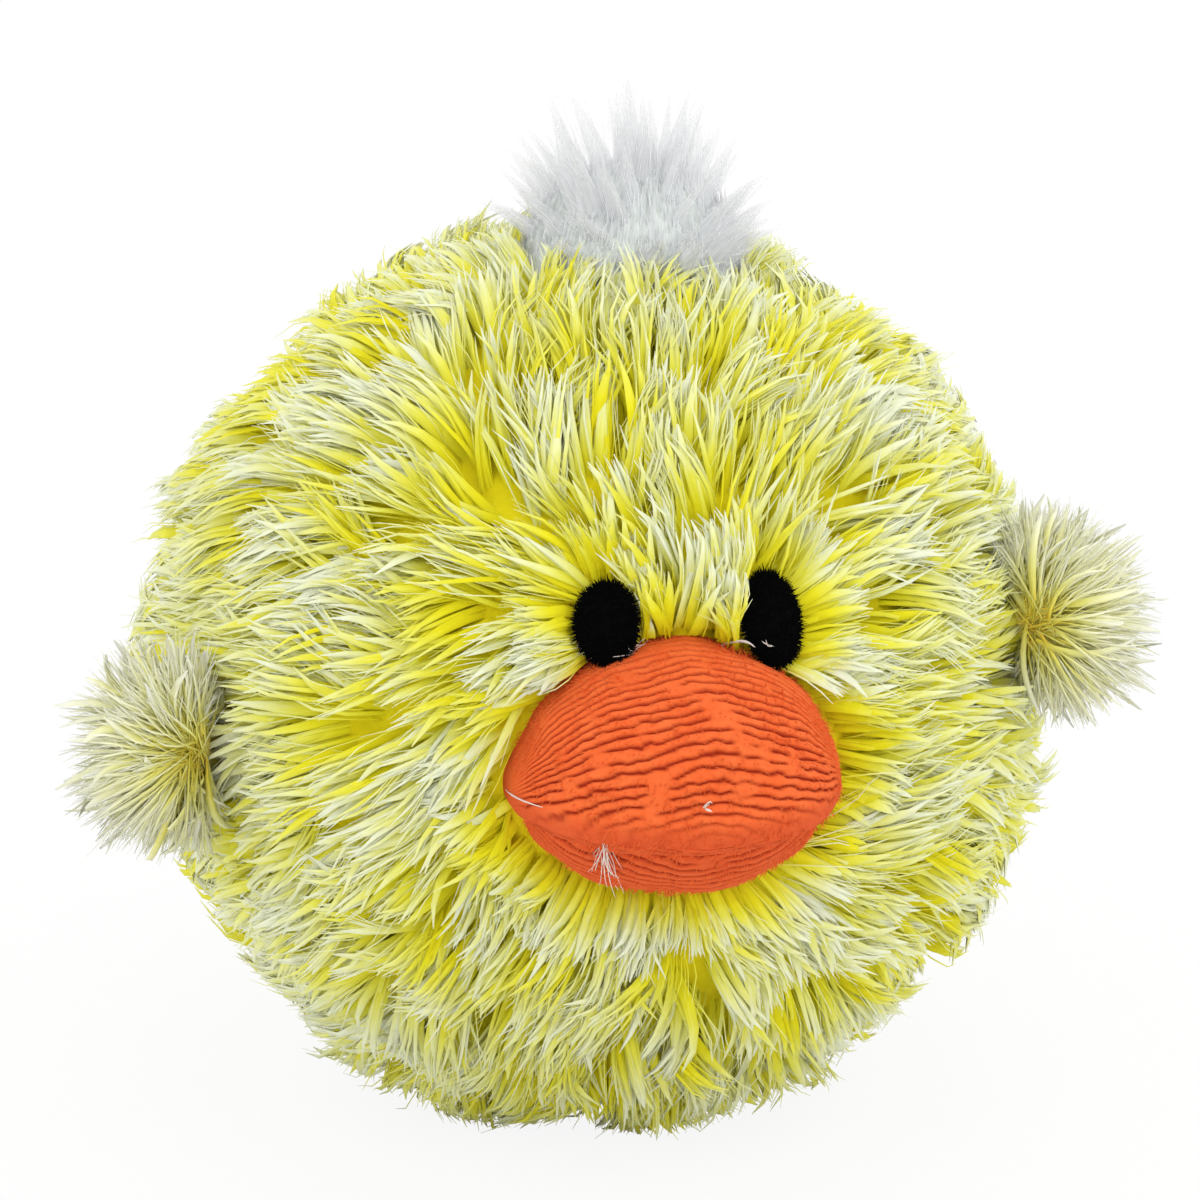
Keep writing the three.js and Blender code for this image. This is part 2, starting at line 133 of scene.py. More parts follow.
def waves(points, size, seed, count=14):
    # smooth noise, mostly within -1 and 1, whose swells lie about size apart
    dice = np.random.default_rng(seed)
    total = np.zeros(len(points))
    for _ in range(count):
        direction = unit(dice.normal(size=3)) * dice.uniform(0.7, 1.5)
        total += np.sin(points @ direction * (2 * math.pi / size) + dice.uniform(0, 2 * math.pi))
    return total / math.sqrt(count / 2) / 1.6


def rgb(red, green, blue):
    # the linear colour that shows as these 0 to 255 values
    shares = (value / 255 for value in (red, green, blue))
    return tuple(((share + 0.055) / 1.055) ** 2.4 if share > 0.04 else share / 12.92 for share in shares)


# Camera, where the photograph was taken from

cameraSetup = {
    "azimuth": -10.8,  # degrees, towards the toy's right
    "elevation": 18.5,
    "distance": 620 * mm,
    "lens": 155.6,
    "sensor": 36,
    "aimRight": 0.7 * mm,  # the frame's middle lies right of the ball's and above it
    "aimUp": 8.1 * mm,
    "roll": 0.5,
    "frame": 1200,  # pixels across the photograph
    "pixel": 0.12 * mm,  # what each of them spans on the toy
    "clip": (0.02, 20),
}


def makeCamera(setup):
    back = Vector(onBall(setup["azimuth"], setup["elevation"]))
    facing = (-back).to_track_quat("-Z", "Y").to_matrix()
    aim = Vector(ballCentre) + facing.col[0] * setup["aimRight"] + facing.col[1] * setup["aimUp"]
    camera = bpy.data.objects.new("camera", bpy.data.cameras.new("camera"))
    camera.data.lens, camera.data.sensor_width = setup["lens"], setup["sensor"]
    camera.data.clip_start, camera.data.clip_end = setup["clip"]
    scene.collection.objects.link(camera)
    camera.location = aim + back * setup["distance"]
    camera.rotation_mode = "QUATERNION"
    rolled = facing @ Matrix.Rotation(math.radians(setup["roll"]), 3, "Z")
    camera.rotation_quaternion = rolled.to_quaternion()
    scene.camera = camera
    return camera


camera = makeCamera(cameraSetup)
towardsCamera = unit(np.array(camera.location) - ballCentre)
print("camera ready")


def photoRay(x, y):
    # which way the camera looks for a pixel of the photograph
    half = cameraSetup["frame"] / 2
    pixel = cameraSetup["sensor"] / cameraSetup["lens"] / cameraSetup["frame"]
    ray = camera.rotation_quaternion @ Vector(((x - half) * pixel, (half - y) * pixel, -1))
    return unit(np.array(ray))


def fromPhoto(x, y, radius=None):
    # where a pixel of the photograph lies on the ball, as a direction from its middle
    ray = photoRay(x, y)
    start = np.array(camera.location) - ballCentre
    radius = radius or pileRadius
    middle = -start @ ray
    inside = radius ** 2 - (start @ start - middle ** 2)
    return unit(start + ray * (middle - math.sqrt(max(inside, 0))))


# Shader maths

class Value:
    # a socket that can be used in sums

    def __init__(self, shade, socket):
        self.shade, self.socket = shade, socket

    def __add__(self, other):
        return self.shade.maths("ADD", self, other)

    def __radd__(self, other):
        return self.shade.maths("ADD", other, self)

    def __sub__(self, other):
        return self.shade.maths("SUBTRACT", self, other)

    def __rsub__(self, other):
        return self.shade.maths("SUBTRACT", other, self)

    def __mul__(self, other):
        return self.shade.maths("MULTIPLY", self, other)

    def __rmul__(self, other):
        return self.shade.maths("MULTIPLY", other, self)


class Shade:
    # a material and its nodes

    def __init__(self, name):
        self.material = bpy.data.materials.new(name)
        self.material.use_nodes = True
        self.nodes, self.links = self.material.node_tree.nodes, self.material.node_tree.links
        self.nodes.clear()

    def node(self, kind, settings=None, output=0, **inputs):
        made = self.nodes.new("ShaderNode" + kind)
        for key, value in (settings or {}).items():
            if key == "stops":
                self.fillRamp(made.color_ramp, value)
            else:
                setattr(made, key, value)
        for key, value in inputs.items():
            numbered = key[0] == "i" and key[1:].isdigit()
            socket = made.inputs[int(key[1:])] if numbered else made.inputs[key.replace("_", " ")]
            if isinstance(value, Value):
                self.links.new(value.socket, socket)
            else:
                socket.default_value = value
        return Value(self, made.outputs[output])

    def fillRamp(self, ramp, stops):
        while len(ramp.elements) < len(stops):
            ramp.elements.new(0.5)
        for element, (place, colour) in zip(ramp.elements, stops):
            element.position = place
            element.color = (*colour, 1)

    def maths(self, operation, first, second):
        return self.node("Math", {"operation": operation}, i0=first, i1=second)

    def mix(self, factor, first, second, blend="MIX"):
        first, second = (c if isinstance(c, Value) else (*c, 1) for c in (first, second))
        settings = {"data_type": "RGBA", "blend_type": blend}
        return self.node("Mix", settings, output=2, i0=factor, i6=first, i7=second)

    def place(self):
        return self.node("TexCoord", output=3)

    def noise(self, scale, detail=3, roughness=0.5, vector=None):
        return self.node(
            "TexNoise", Vector=vector or self.place(), Scale=scale, Detail=detail, Roughness=roughness,
        )

    def bump(self, height, strength, distance):
        return self.node("Bump", Height=height, Strength=strength, Distance=distance)

    def surface(self, colour, roughness, specular=0.5, **inputs):
        # one plain surface, and with it the finished material
        made = self.node(
            "BsdfPrincipled", Base_Color=colour, Roughness=roughness, Specular_IOR_Level=specular, **inputs,
        )
        return self.finish(made)

    def finish(self, surface):
        end = self.nodes.new("ShaderNodeOutputMaterial")
        self.links.new(surface.socket, end.inputs["Surface"])
        return self.material


plushShine = 0.15  # the specular level of pile and cloth


def pileMaterial(name, stops, tonePull=0.5, streaks=0.8, shade=0.25, roughness=0.85, sheer=None):
    # the strand's own map holds its tone across and runs from root to tip along
    made = Shade(name)
    strand = made.node("UVMap", {"uv_map": "OFBake"})
    tone = made.node("SeparateXYZ", output=0, i0=strand)
    reach = made.node("SeparateXYZ", output=1, i0=strand)
    streak = made.noise(1, 2, 0.6, made.node("CombineXYZ", X=tone * 420, Y=reach * 2.2)) - 0.5
    dyed = reach * (1 - tonePull / 2) + tone * tonePull - tonePull / 4 + streak * streaks * 0.4
    # painted shade: shade darkens some streaks of a lock against others, as shadow between its fine fibres,
    # while the streaks also shift the dye's tone
    lightness = streak * shade + 1 - shade / 4
    streakShade = made.node("CombineColor", i0=lightness, i1=lightness, i2=lightness)
    colour = made.mix(1.0, made.node("ValToRGB", {"stops": stops}, Fac=dyed), streakShade, "MULTIPLY")
    solid = {}
    if sheer:  # from what share of its length a strand thins, and how solid its tip is
        thinned = reach + streak * 0.5
        solid["Alpha"] = made.node("MapRange", i0=thinned, i1=sheer[0], i2=1.0, i3=1.0, i4=sheer[1])
    return made.surface(colour, roughness, plushShine, **solid)


def clothMaterial(name, dark, light, grain=700):
    shade = Shade(name)
    colour = shade.mix(shade.noise(grain, 4, 0.65), dark, light)
    knit = shade.bump(shade.noise(grain * 2, 3), 0.5, 0.25 * mm)
    return shade.surface(colour, 0.92, plushShine, Normal=knit)


# Making pieces

def newPiece(name, mesh, material):
    mesh.name = name
    mesh.materials.clear()
    mesh.materials.append(material)
    piece = bpy.data.objects.new(name, mesh)
    scene.collection.objects.link(piece)
    return piece


def fromBmesh(name, shape, material):
    mesh = bpy.data.meshes.new(name)
    for face in shape.faces:
        face.smooth = True
    shape.to_mesh(mesh)
    shape.free()
    return newPiece(name, mesh, material)


def roundShape(around, rings, radius=1):
    shape = bmesh.new()
    bmesh.ops.create_uvsphere(shape, u_segments=around, v_segments=rings, radius=radius)
    return shape


def keepSide(shape, across, gap):
    # cuts a shape by a plane that stands off its middle by gap, and keeps the part that across points to
    bmesh.ops.bisect_plane(
        shape, geom=shape.verts[:] + shape.edges[:] + shape.faces[:],
        plane_co=across * gap, plane_no=across, clear_inner=True,
    )


def setAlong(shape, axes, centre=ballCentre):
    # turns a shape from its own frame to axes on the ball, and moves it out to its centre
    bmesh.ops.transform(shape, matrix=Matrix(axes.T.tolist()).to_4x4(), verts=shape.verts)
    bmesh.ops.translate(shape, vec=Vector(centre), verts=shape.verts)


def meshTree(meshes):
    # the faces of several meshes as one tree
    corners, faces = [], []
    for mesh in meshes:
        faces += [[len(corners) + index for index in face.vertices] for face in mesh.polygons]
        corners += [vertex.co.copy() for vertex in mesh.vertices]
    return BVHTree.FromPolygons(corners, faces)


def assign(piece, body, slot, *nodes, fill=None):
    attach(piece, body)
    if nodes:
        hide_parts(*nodes)


def strandSection(sides):
    # the outline that is swept along every strand
    curve = bpy.data.curves.new("strandSection", "CURVE")
    spline = curve.splines.new("POLY")
    spline.points.add(sides - 1)
    for index, point in enumerate(spline.points):
        turn = math.pi / 2 - 2 * math.pi * index / sides
        point.co = (math.cos(turn), math.sin(turn), 0, 1)
    spline.use_cyclic_u = True
    section = bpy.data.objects.new("strandSection", curve)
    scene.collection.objects.link(section)
    return section


def softenNormals(mesh, centre, pull):
    # turns the strands' normals part of the way outwards, as light that scatters in pile does
    mesh.shade_smooth()
    count = len(mesh.vertices)
    places, own = np.zeros(count * 3, np.float32), np.zeros(count * 3, np.float32)
    mesh.vertices.foreach_get("co", places)
    mesh.vertex_normals.foreach_get("vector", own)
    outward = unit(places.reshape(-1, 3) - centre)
    mesh.normals_split_custom_set_from_vertices(unit(own.reshape(-1, 3) * (1 - pull) + outward * pull))


def makeStrands(name, paths, radii, tones, material, centre=ballCentre, pull=0.5, sides=3):
    # paths is strands by points by 3 in metres, radii is strands by points, tones runs from 0 to 1
    strands, points = paths.shape[:2]
    section = strandSection(sides)
    curve = bpy.data.curves.new(name, "CURVE")
    curve.dimensions, curve.bevel_mode, curve.bevel_object = "3D", "OBJECT", section
    curve.use_fill_caps = True
    places = np.concatenate([paths, np.ones((strands, points, 1))], axis=2).astype(np.float32)
    widths = radii.astype(np.float32)
    for index in range(strands):
        spline = curve.splines.new("POLY")
        spline.points.add(points - 1)
        spline.points.foreach_set("co", places[index].ravel())
        spline.points.foreach_set("radius", widths[index])
    source = bpy.data.objects.new(name + "Curves", curve)
    scene.collection.objects.link(source)
    mesh = bpy.data.meshes.new_from_object(source.evaluated_get(bpy.context.evaluated_depsgraph_get()))
    for spare in (source, section):
        data = spare.data
        bpy.data.objects.remove(spare)
        bpy.data.curves.remove(data)
    corners = np.zeros(len(mesh.loops), np.int64)
    mesh.loops.foreach_get("vertex_index", corners)
    caps = sides * 2
    inCaps = corners < strands * caps  # the caps come first, the last strand's before the others'
    inTubes = corners - strands * caps
    strand = np.where(inCaps, strands - 1 - corners // caps, inTubes // (points * sides))
    ring = np.where(inCaps, (corners % caps < sides) * (points - 1), inTubes % (points * sides) // sides)
    mapped = np.stack([tones[strand] + corners % sides * 0.01, ring / (points - 1)], axis=1)
    for spare in list(mesh.uv_layers):
        mesh.uv_layers.remove(spare)
    mesh.uv_layers.new(name="OFBake").data.foreach_set("uv", mapped.astype(np.float32).ravel())
    softenNormals(mesh, centre, pull)
    return newPiece(name, mesh, material)


def spread(values, steps, shares):
    # radii along each strand, from its own width and a profile of shares
    profile = np.interp(np.linspace(0, 1, steps), np.linspace(0, 1, len(shares)), shares)
    return values[:, None] * profile[None, :]


def resampled(paths, steps, keep):
    # the strands again, with other points, each ending at its share of keep
    last = paths.shape[1] - 1
    place = np.linspace(0, 1, steps)[None, :] * np.asarray(keep)[:, None] * last
    low = np.minimum(place.astype(int), last - 1)
    part = (place - low)[:, :, None]
    index = np.arange(len(paths))[:, None]
    return paths[index, low] * (1 - part) + paths[index, low + 1] * part


def clearOf(paths, isBlocked, probes=10, least=0.3):
    # cuts strands short before what they would lie over, and says which are long enough to keep
    fine = resampled(paths, probes, np.ones(len(paths)))
    hits = isBlocked(fine[:, 1:].reshape(-1, 3)).reshape(len(paths), probes - 1)
    first = np.where(hits.any(axis=1), hits.argmax(axis=1) + 0.4, probes - 1)
    keep = first / (probes - 1)
    return resampled(paths, paths.shape[1], keep), keep > least


def nearestOf(points, targets, block=4000):
    # the number of the target whose direction is nearest to each point's
    found = np.empty(len(points), np.int64)
    for start in range(0, len(points), block):
        found[start:start + block] = np.argmax(points[start:start + block] @ targets.T, axis=1)
    return found


def spiralPoints(count):
    # points spread evenly over a ball
    index = np.arange(count) + 0.5
    height = 1 - 2 * index / count
    turn = index * math.pi * (3 - math.sqrt(5))
    level = np.sqrt(1 - height ** 2)
    return np.stack([level * np.cos(turn), level * np.sin(turn), height], axis=1)


def jittered(normals, degrees, dice):
    return unit(normals + dice.normal(size=normals.shape) * math.radians(degrees))


def turnedAbout(axes, vectors, angles):
    cos, sin = np.cos(angles)[:, None], np.sin(angles)[:, None]
    return vectors * cos + np.cross(axes, vectors) * sin


# What the cover's pile grows round: eyes, bill, crown and wings

billShape = {
    "reach": 19.3 * mm,  # from the root line to the front of the upper lobe
    "lowerReach": 16.6 * mm,
    "margin": 0.4 * mm,
    "upperNap": (1.2 * mm, 0.5 * mm, 0.9 * mm),  # room for the nap inside the solids
    "lowerNap": (1.2 * mm, 0.5 * mm, 1.2 * mm),
}
upperBill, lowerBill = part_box("bill_upper"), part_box("bill_lower")
mouthHeight = (upperBill[0].z + lowerBill[1].z) / 2
billCentre = np.array([
    (upperBill[0].x + upperBill[1].x) / 2, upperBill[0].y + billShape["reach"], mouthHeight,
])
upperSemis = np.array([
    (upperBill[1].x - upperBill[0].x) / 2, billShape["reach"], upperBill[1].z - mouthHeight,
]) - billShape["upperNap"]
lowerSemis = np.array([
    (lowerBill[1].x - lowerBill[0].x) / 2, billShape["lowerReach"], mouthHeight - lowerBill[0].z,
]) - billShape["lowerNap"]


def inBill(points, margin=billShape["margin"]):
    local = points - billCentre
    upper = (np.sum((local / (upperSemis + margin)) ** 2, axis=1) < 1) & (local[:, 2] > -margin)
    lower = (np.sum((local / (lowerSemis + margin)) ** 2, axis=1) < 1) & (local[:, 2] < margin)
    return upper | lower


def eyeFrame(name):
    # an eye's axes, third one outwards, with the middle and half sizes of its pad along them
    axes = ballAxes(unit(nodeCentre(name) - ballCentre))
    local = (nodePoints(name) - ballCentre) @ axes.T
    middle = (local.min(axis=0) + local.max(axis=0)) / 2
    return {"axes": axes, "middle": middle, "half": (local.max(axis=0) - local.min(axis=0)) / 2}


eyeFrames = {name: eyeFrame(name) for name in ("eye_left", "eye_right")}
eyeSlim = 0.3 * mm  # how much closer than the solid the pile comes at an eye's sides


def overEye(points, eye, margin):
    local = (points - ballCentre) @ eye["axes"].T - eye["middle"]
    across, up = eye["half"][0] - eyeSlim + margin, eye["half"][1] + margin
    flat = (local[:, 0] / across) ** 2 + (local[:, 1] / up) ** 2
    return (flat < 1) & (local[:, 2] > -eye["half"][2])


crownOut = unit(nodeCentre("crown_patch") - ballCentre)
crownSide = unit(np.cross([0, 1, 0], crownOut))
crownAxes = np.array([crownSide, np.cross(crownOut, crownSide), crownOut])
patchPoints = (nodePoints("crown_patch") - ballCentre) @ crownAxes.T
patchRadius, patchHeight = patchPoints[:, :2].max(), patchPoints[:, 2].max()


def inCrown(points, margin):
    local = (points - ballCentre) @ crownAxes.T
    return (np.hypot(local[:, 0], local[:, 1]) < patchRadius + margin) & (local[:, 2] > 0)


def wingFrame(side):
    # a wing's axes, third one outwards, with the middle and half sizes of its nub along them
    corners = np.concatenate([nodePoints(f"wing_{side}_{half}") for half in ("front", "back")])
    axes = ballAxes(unit((corners.min(axis=0) + corners.max(axis=0)) / 2 - ballCentre))
    local = (corners - ballCentre) @ axes.T
    low, high = local.min(axis=0), local.max(axis=0)
    return {"axes": axes, "middle": (low + high) / 2, "semis": (high - low) / 2}


wingFrames = {side: wingFrame(side) for side in ("left", "right")}
wingRoom = 0.3  # the share of a nub that the ball's pile keeps out of


def inWing(points, wing):
    local = (points - ballCentre) @ wing["axes"].T - wing["middle"]
    local[:, 2] -= wing["semis"][2] * (1 - wingRoom)
    return np.sum((local / (wing["semis"] * wingRoom)) ** 2, axis=1) < 1


def pileBlocked(points, width):
    # where a strand of this width would lie in another piece
    blocked = inBill(points, width) | inCrown(points, width)
    for eye in eyeFrames.values():
        blocked |= overEye(points, eye, width)
    for wing in wingFrames.values():
        blocked |= inWing(points, wing)
    return blocked


# Cover pile: how it is combed, how long it is and how it parts into locks

coverPile = {
    "groups": 900,  # neighbouring locks that lie together
    "locks": 7500,
    "rootRadius": pileRadius - 8.5 * mm,
    "rimRadius": pileRadius - 6.0 * mm,  # where the locks round the eyes and the bill are planted
    "reach": 9.6 * mm,  # how far the tips stand off the roots
    "over": 0.9 * mm,  # how far they stand over the solid
    "leastHeight": pileRadius - 6 * mm,  # the solid counts as no lower than this, in the wells too
    "sweep": 11.5 * mm,  # how far the tips lie along the ball from the roots
    "bend": 1.7 * mm,  # how far a lock curls to a side
    "wave": 0.3 * mm,
    "groupGather": 0.62,
    "spread": {"groups": 1.6, "locks": 0.7, "strands": 0.4},  # degrees off an even spread
    "stray": {"locks": 0.18, "rims": 0.15, "strands": 0.16},  # how far each turns off its course
    "swing": (0.25, 0.45, 0.3),  # how far groups turn together, more of it out of sight, and one by one
    "sightEdge": (-0.1, 0.4),
    "faceCentre": (1.0, 6.0),  # azimuth and latitude that the pile runs away from
    "strokeSize": 8.0,  # degrees that each stroke of the comb reaches
    "openingPull": (0.9, 1.5),  # how strongly and how far round a parting the locks lie away from it
    "openingDip": (0.5, 1.15),  # how much yellower they are there, and how far round
    "fromRim": 0.45,  # how much the locks round a sewn-on piece lie away from it
    "seed": 11,
}

pileLayers = {  # gather is how far strands draw together towards their lock's tip
    "locks": {
        "points": 6, "width": 0.74 * mm, "profile": [0.9, 1, 1, 0.85, 0.5, 0.08],
        "pull": 0.55, "pale": -0.05,
    },
    "wisps": {
        "count": 15000, "points": 5, "width": 0.33 * mm, "profile": [0.9, 1, 0.9, 0.65, 0.1], "gather": 0.56,
        "pull": 0.5, "pale": 0.02,
    },
    "fibres": {
        "count": 26000, "points": 5, "width": 0.1 * mm, "profile": [1, 1, 0.9, 0.75, 0.25], "gather": 0.48,
        "pull": 0.4, "pale": 0.05,
    },
}

pileRims = {  # locks planted close round the sewn-on pieces, and how long and how upright they are
    "eye_left": {"locks": 80, "band": 1.8 * mm, "length": 0.78, "sweep": 0.6},
    "eye_right": {"locks": 80, "band": 1.8 * mm, "length": 0.78, "sweep": 0.6},
    "bill": {"locks": 240, "band": 2.4 * mm, "length": 0.95, "sweep": 0.6},
}

# Strokes of the comb over the photographed side, from and to, in the photograph's pixels
combStrokes = [
    (423, 280, 375, 238), (475, 294, 468, 200), (361, 290, 316, 262), (464, 345, 416, 287),
    (457, 373, 361, 342), (450, 400, 327, 387), (440, 466, 333, 486), (285, 345, 234, 352),
    (234, 400, 192, 407), (485, 359, 485, 294), (485, 400, 533, 342), (568, 404, 585, 345),
    (568, 566, 444, 490), (602, 507, 592, 442), (520, 490, 533, 442), (506, 576, 406, 552),
    (544, 590, 423, 604), (544, 607, 451, 697), (361, 524, 292, 559), (275, 517, 223, 545),
    (396, 640, 275, 625), (206, 455, 154, 486), (172, 559, 137, 576), (694, 352, 663, 294),
    (753, 352, 815, 294), (725, 294, 732, 249), (773, 418, 853, 393), (732, 466, 780, 421),
    (801, 373, 870, 328), (887, 342, 915, 307), (870, 421, 956, 414), (939, 483, 1008, 455),
    (863, 514, 939, 473), (801, 559, 846, 528), (853, 607, 932, 569), (860, 624, 949, 645),
    (835, 662, 904, 697), (687, 624, 629, 531), (663, 524, 667, 466), (601, 507, 581, 449),
    (767, 552, 725, 490), (794, 524, 835, 480), (495, 757, 344, 792), (499, 785, 361, 857),
    (502, 805, 468, 874), (568, 881, 464, 915), (533, 902, 423, 950), (657, 909, 533, 1005),
    (526, 977, 457, 1033), (568, 1002, 550, 1070), (619, 1002, 626, 1081), (361, 754, 306, 750),
    (327, 854, 268, 874), (368, 1012, 340, 1029), (258, 778, 234, 805), (856, 714, 948, 695),
    (849, 777, 948, 777), (789, 858, 893, 847), (767, 877, 874, 914), (738, 906, 789, 973),
    (715, 921, 756, 995), (682, 929, 634, 1010), (715, 1032, 723, 1102), (819, 973, 874, 1010),
    (930, 847, 996, 869), (960, 732, 1022, 762), (593, 906, 571, 973), (600, 330, 600, 270),
    (640, 420, 640, 350), (900, 560, 980, 560), (578, 668, 522, 742), (548, 705, 498, 778),
    (560, 640, 520, 690),
]

# Partings where the yellow underside of the pile shows, with their radii, in the photograph's pixels
partings = [
    (495, 214, 12), (416, 249, 20), (420, 387, 24), (416, 466, 26), (402, 528, 18), (512, 497, 22),
    (599, 497, 20), (564, 266, 20), (390, 655, 20), (388, 610, 26), (430, 710, 24), (244, 438, 14),
    (178, 603, 13), (275, 676, 15), (787, 318, 26), (846, 352, 14), (735, 455, 22), (952, 469, 18),
    (870, 490, 24), (656, 576, 16), (853, 610, 24), (942, 617, 15), (773, 538, 14), (904, 528, 14),
    (629, 373, 18), (690, 283, 15), (430, 719, 25), (478, 809, 22), (464, 867, 20), (420, 912, 15),
    (413, 960, 22), (375, 1015, 15), (516, 984, 16), (612, 909, 16), (340, 860, 13), (275, 847, 12),
    (285, 791, 12), (206, 709, 13), (734, 899, 20), (778, 895, 20), (904, 721, 24), (878, 862, 16),
    (882, 984, 15), (786, 1043, 18), (856, 788, 18), (974, 851, 13), (660, 1010, 20), (952, 921, 12),
    (700, 350, 14), (540, 340, 16), (330, 330, 16), (300, 460, 14), (330, 580, 16), (300, 760, 14),
    (960, 560, 14), (980, 660, 14),
]

hiddenPartings = {"count": 90, "smallest": 1.6, "largest": 3.6, "seed": 23}  # sizes in degrees

# Large partings out of the photograph's sight, in azimuth, latitude and size
largePartings = [
    (102, 45, 5), (98, -14, 5), (140, 12, 5), (128, -38, 5), (178, 35, 5), (196, -30, 5), (222, 14, 5),
    (262, 44, 5), (258, -34, 5),
]


def pileHeights(normals, setup):
    # how far the solid pile reaches from the ball's middle, with its wells for eyes and bill filled up
    tree = meshTree([frame["nodes"]["cover_gore_" + name].data for name in goreSeams])
    far = pileRadius + 20 * mm
    found = np.full(len(normals), pileRadius)
    for index, normal in enumerate(normals):
        place = tree.ray_cast(Vector(ballCentre + normal * far), Vector(-normal))[0]
        if place is not None:
            found[index] = max(np.linalg.norm(np.array(place) - ballCentre), setup["leastHeight"])
    return found


def awayFrom(place, normals):
    # direction along the ball that leads away from a place on it
    return along(normals, np.broadcast_to(-place, normals.shape))


def combedFlow(normals, setup):
    face = onBall(*setup["faceCentre"])
    away = awayFrom(face, normals)
    down = along(normals, np.broadcast_to([0.0, 0.0, -1.0], normals.shape))
    behind = smoothStep(angleTo(face, normals), 95, 140)[:, None]
    flow = unit(away * (1 - behind) + down * behind * 0.9) * 0.12
    for fromX, fromY, toX, toY in combStrokes:
        start, end = fromPhoto(fromX, fromY), fromPhoto(toX, toY)
        middle = unit(start + end)
        weight = np.exp(-(angleTo(middle, normals) / setup["strokeSize"]) ** 2)[:, None]
        flow += along(normals, np.broadcast_to(end - start, normals.shape)) * weight
    return along(normals, flow)


def allPartings():
    pixel = math.degrees(cameraSetup["pixel"] / pileRadius)
    found = [(fromPhoto(x, y), size * pixel) for x, y, size in partings]
    found += [(onBall(azimuth, latitude), size) for azimuth, latitude, size in largePartings]
    dice = np.random.default_rng(hiddenPartings["seed"])
    while len(found) < len(partings) + len(largePartings) + hiddenPartings["count"]:
        place = unit(dice.normal(size=3))
        if place @ towardsCamera < 0.25:
            found.append((place, dice.uniform(hiddenPartings["smallest"], hiddenPartings["largest"])))
    return found


def sweepFrom(normals, flow, rootRadius, reach, sweep, steps, lie=1.8):
    # standing up at the root and lying over at the tip
    share = np.linspace(0, 1, steps)[None, :]
    radius = np.reshape(rootRadius, (-1, 1)) + reach[:, None] * (1 - (1 - share) ** np.reshape(lie, (-1, 1)))
    turn = (sweep[:, None] * share ** 1.2 / radius)[:, :, None]
    return radius[:, :, None] * (np.cos(turn) * normals[:, None, :] + np.sin(turn) * flow[:, None, :])


def gathered(paths, guides, amount, power):
    # draws strands towards their guides, more and more to the tip
    share = np.linspace(0, 1, paths.shape[1])[None, :, None] ** power
    pull = np.reshape(amount, (-1, 1, 1)) * share
    return paths * (1 - pull) + resampled(guides, paths.shape[1], np.ones(len(guides))) * pull


def curled(paths, sideways, bend, wave, dice):
    share = np.linspace(0, 1, paths.shape[1])[None, :]
    swing = bend[:, None] * share ** 2
    swing = swing + wave[:, None] * share * np.sin(share * 5 + dice.uniform(0, 2 * math.pi, (len(paths), 1)))
    return paths + sideways[:, None, :] * swing[:, :, None]


def rimRoots(isInside, middle, radius, count, band, dice):
    # places close round a sewn-on piece, found by walking away from its middle, and the way out from it
    axes = ballAxes(middle)
    turn = dice.uniform(0, 2 * math.pi, count)
    heading = np.cos(turn)[:, None] * axes[0] + np.sin(turn)[:, None] * axes[1]
    walk = np.radians(np.arange(0, 40, 0.25))
    places = np.cos(walk)[None, :, None] * middle + np.sin(walk)[None, :, None] * heading[:, None, :]
    inside = isInside((places * radius + ballCentre).reshape(-1, 3)).reshape(count, len(walk))
    edge = walk[len(walk) - 1 - inside[:, ::-1].argmax(axis=1)]
    angle = (edge + dice.uniform(0, 1, count) * band / radius)[:, None]
    roots = np.cos(angle) * middle + np.sin(angle) * heading
    return roots, along(roots, heading)


def allRims(count, dice):
    # roots, ways out, lengths and sweeps of what is planted round the eyes and the bill
    found = []
    for name, rim in pileRims.items():
        if name == "bill":
            middle, radius, isInside = unit(billCentre - ballCentre), coverPile["rimRadius"], inBill
        else:
            eye = eyeFrames[name]
            middle, radius = eye["axes"][2], eye["middle"][2]
            isInside = lambda points, eye=eye: overEye(points, eye, 0)
        amount = int(rim["locks"] * count)
        roots, ways = rimRoots(isInside, middle, radius, amount, rim["band"], dice)
        found.append((roots, ways, np.full(amount, rim["length"]), np.full(amount, rim["sweep"])))
    return [np.concatenate(parts) for parts in zip(*found)]


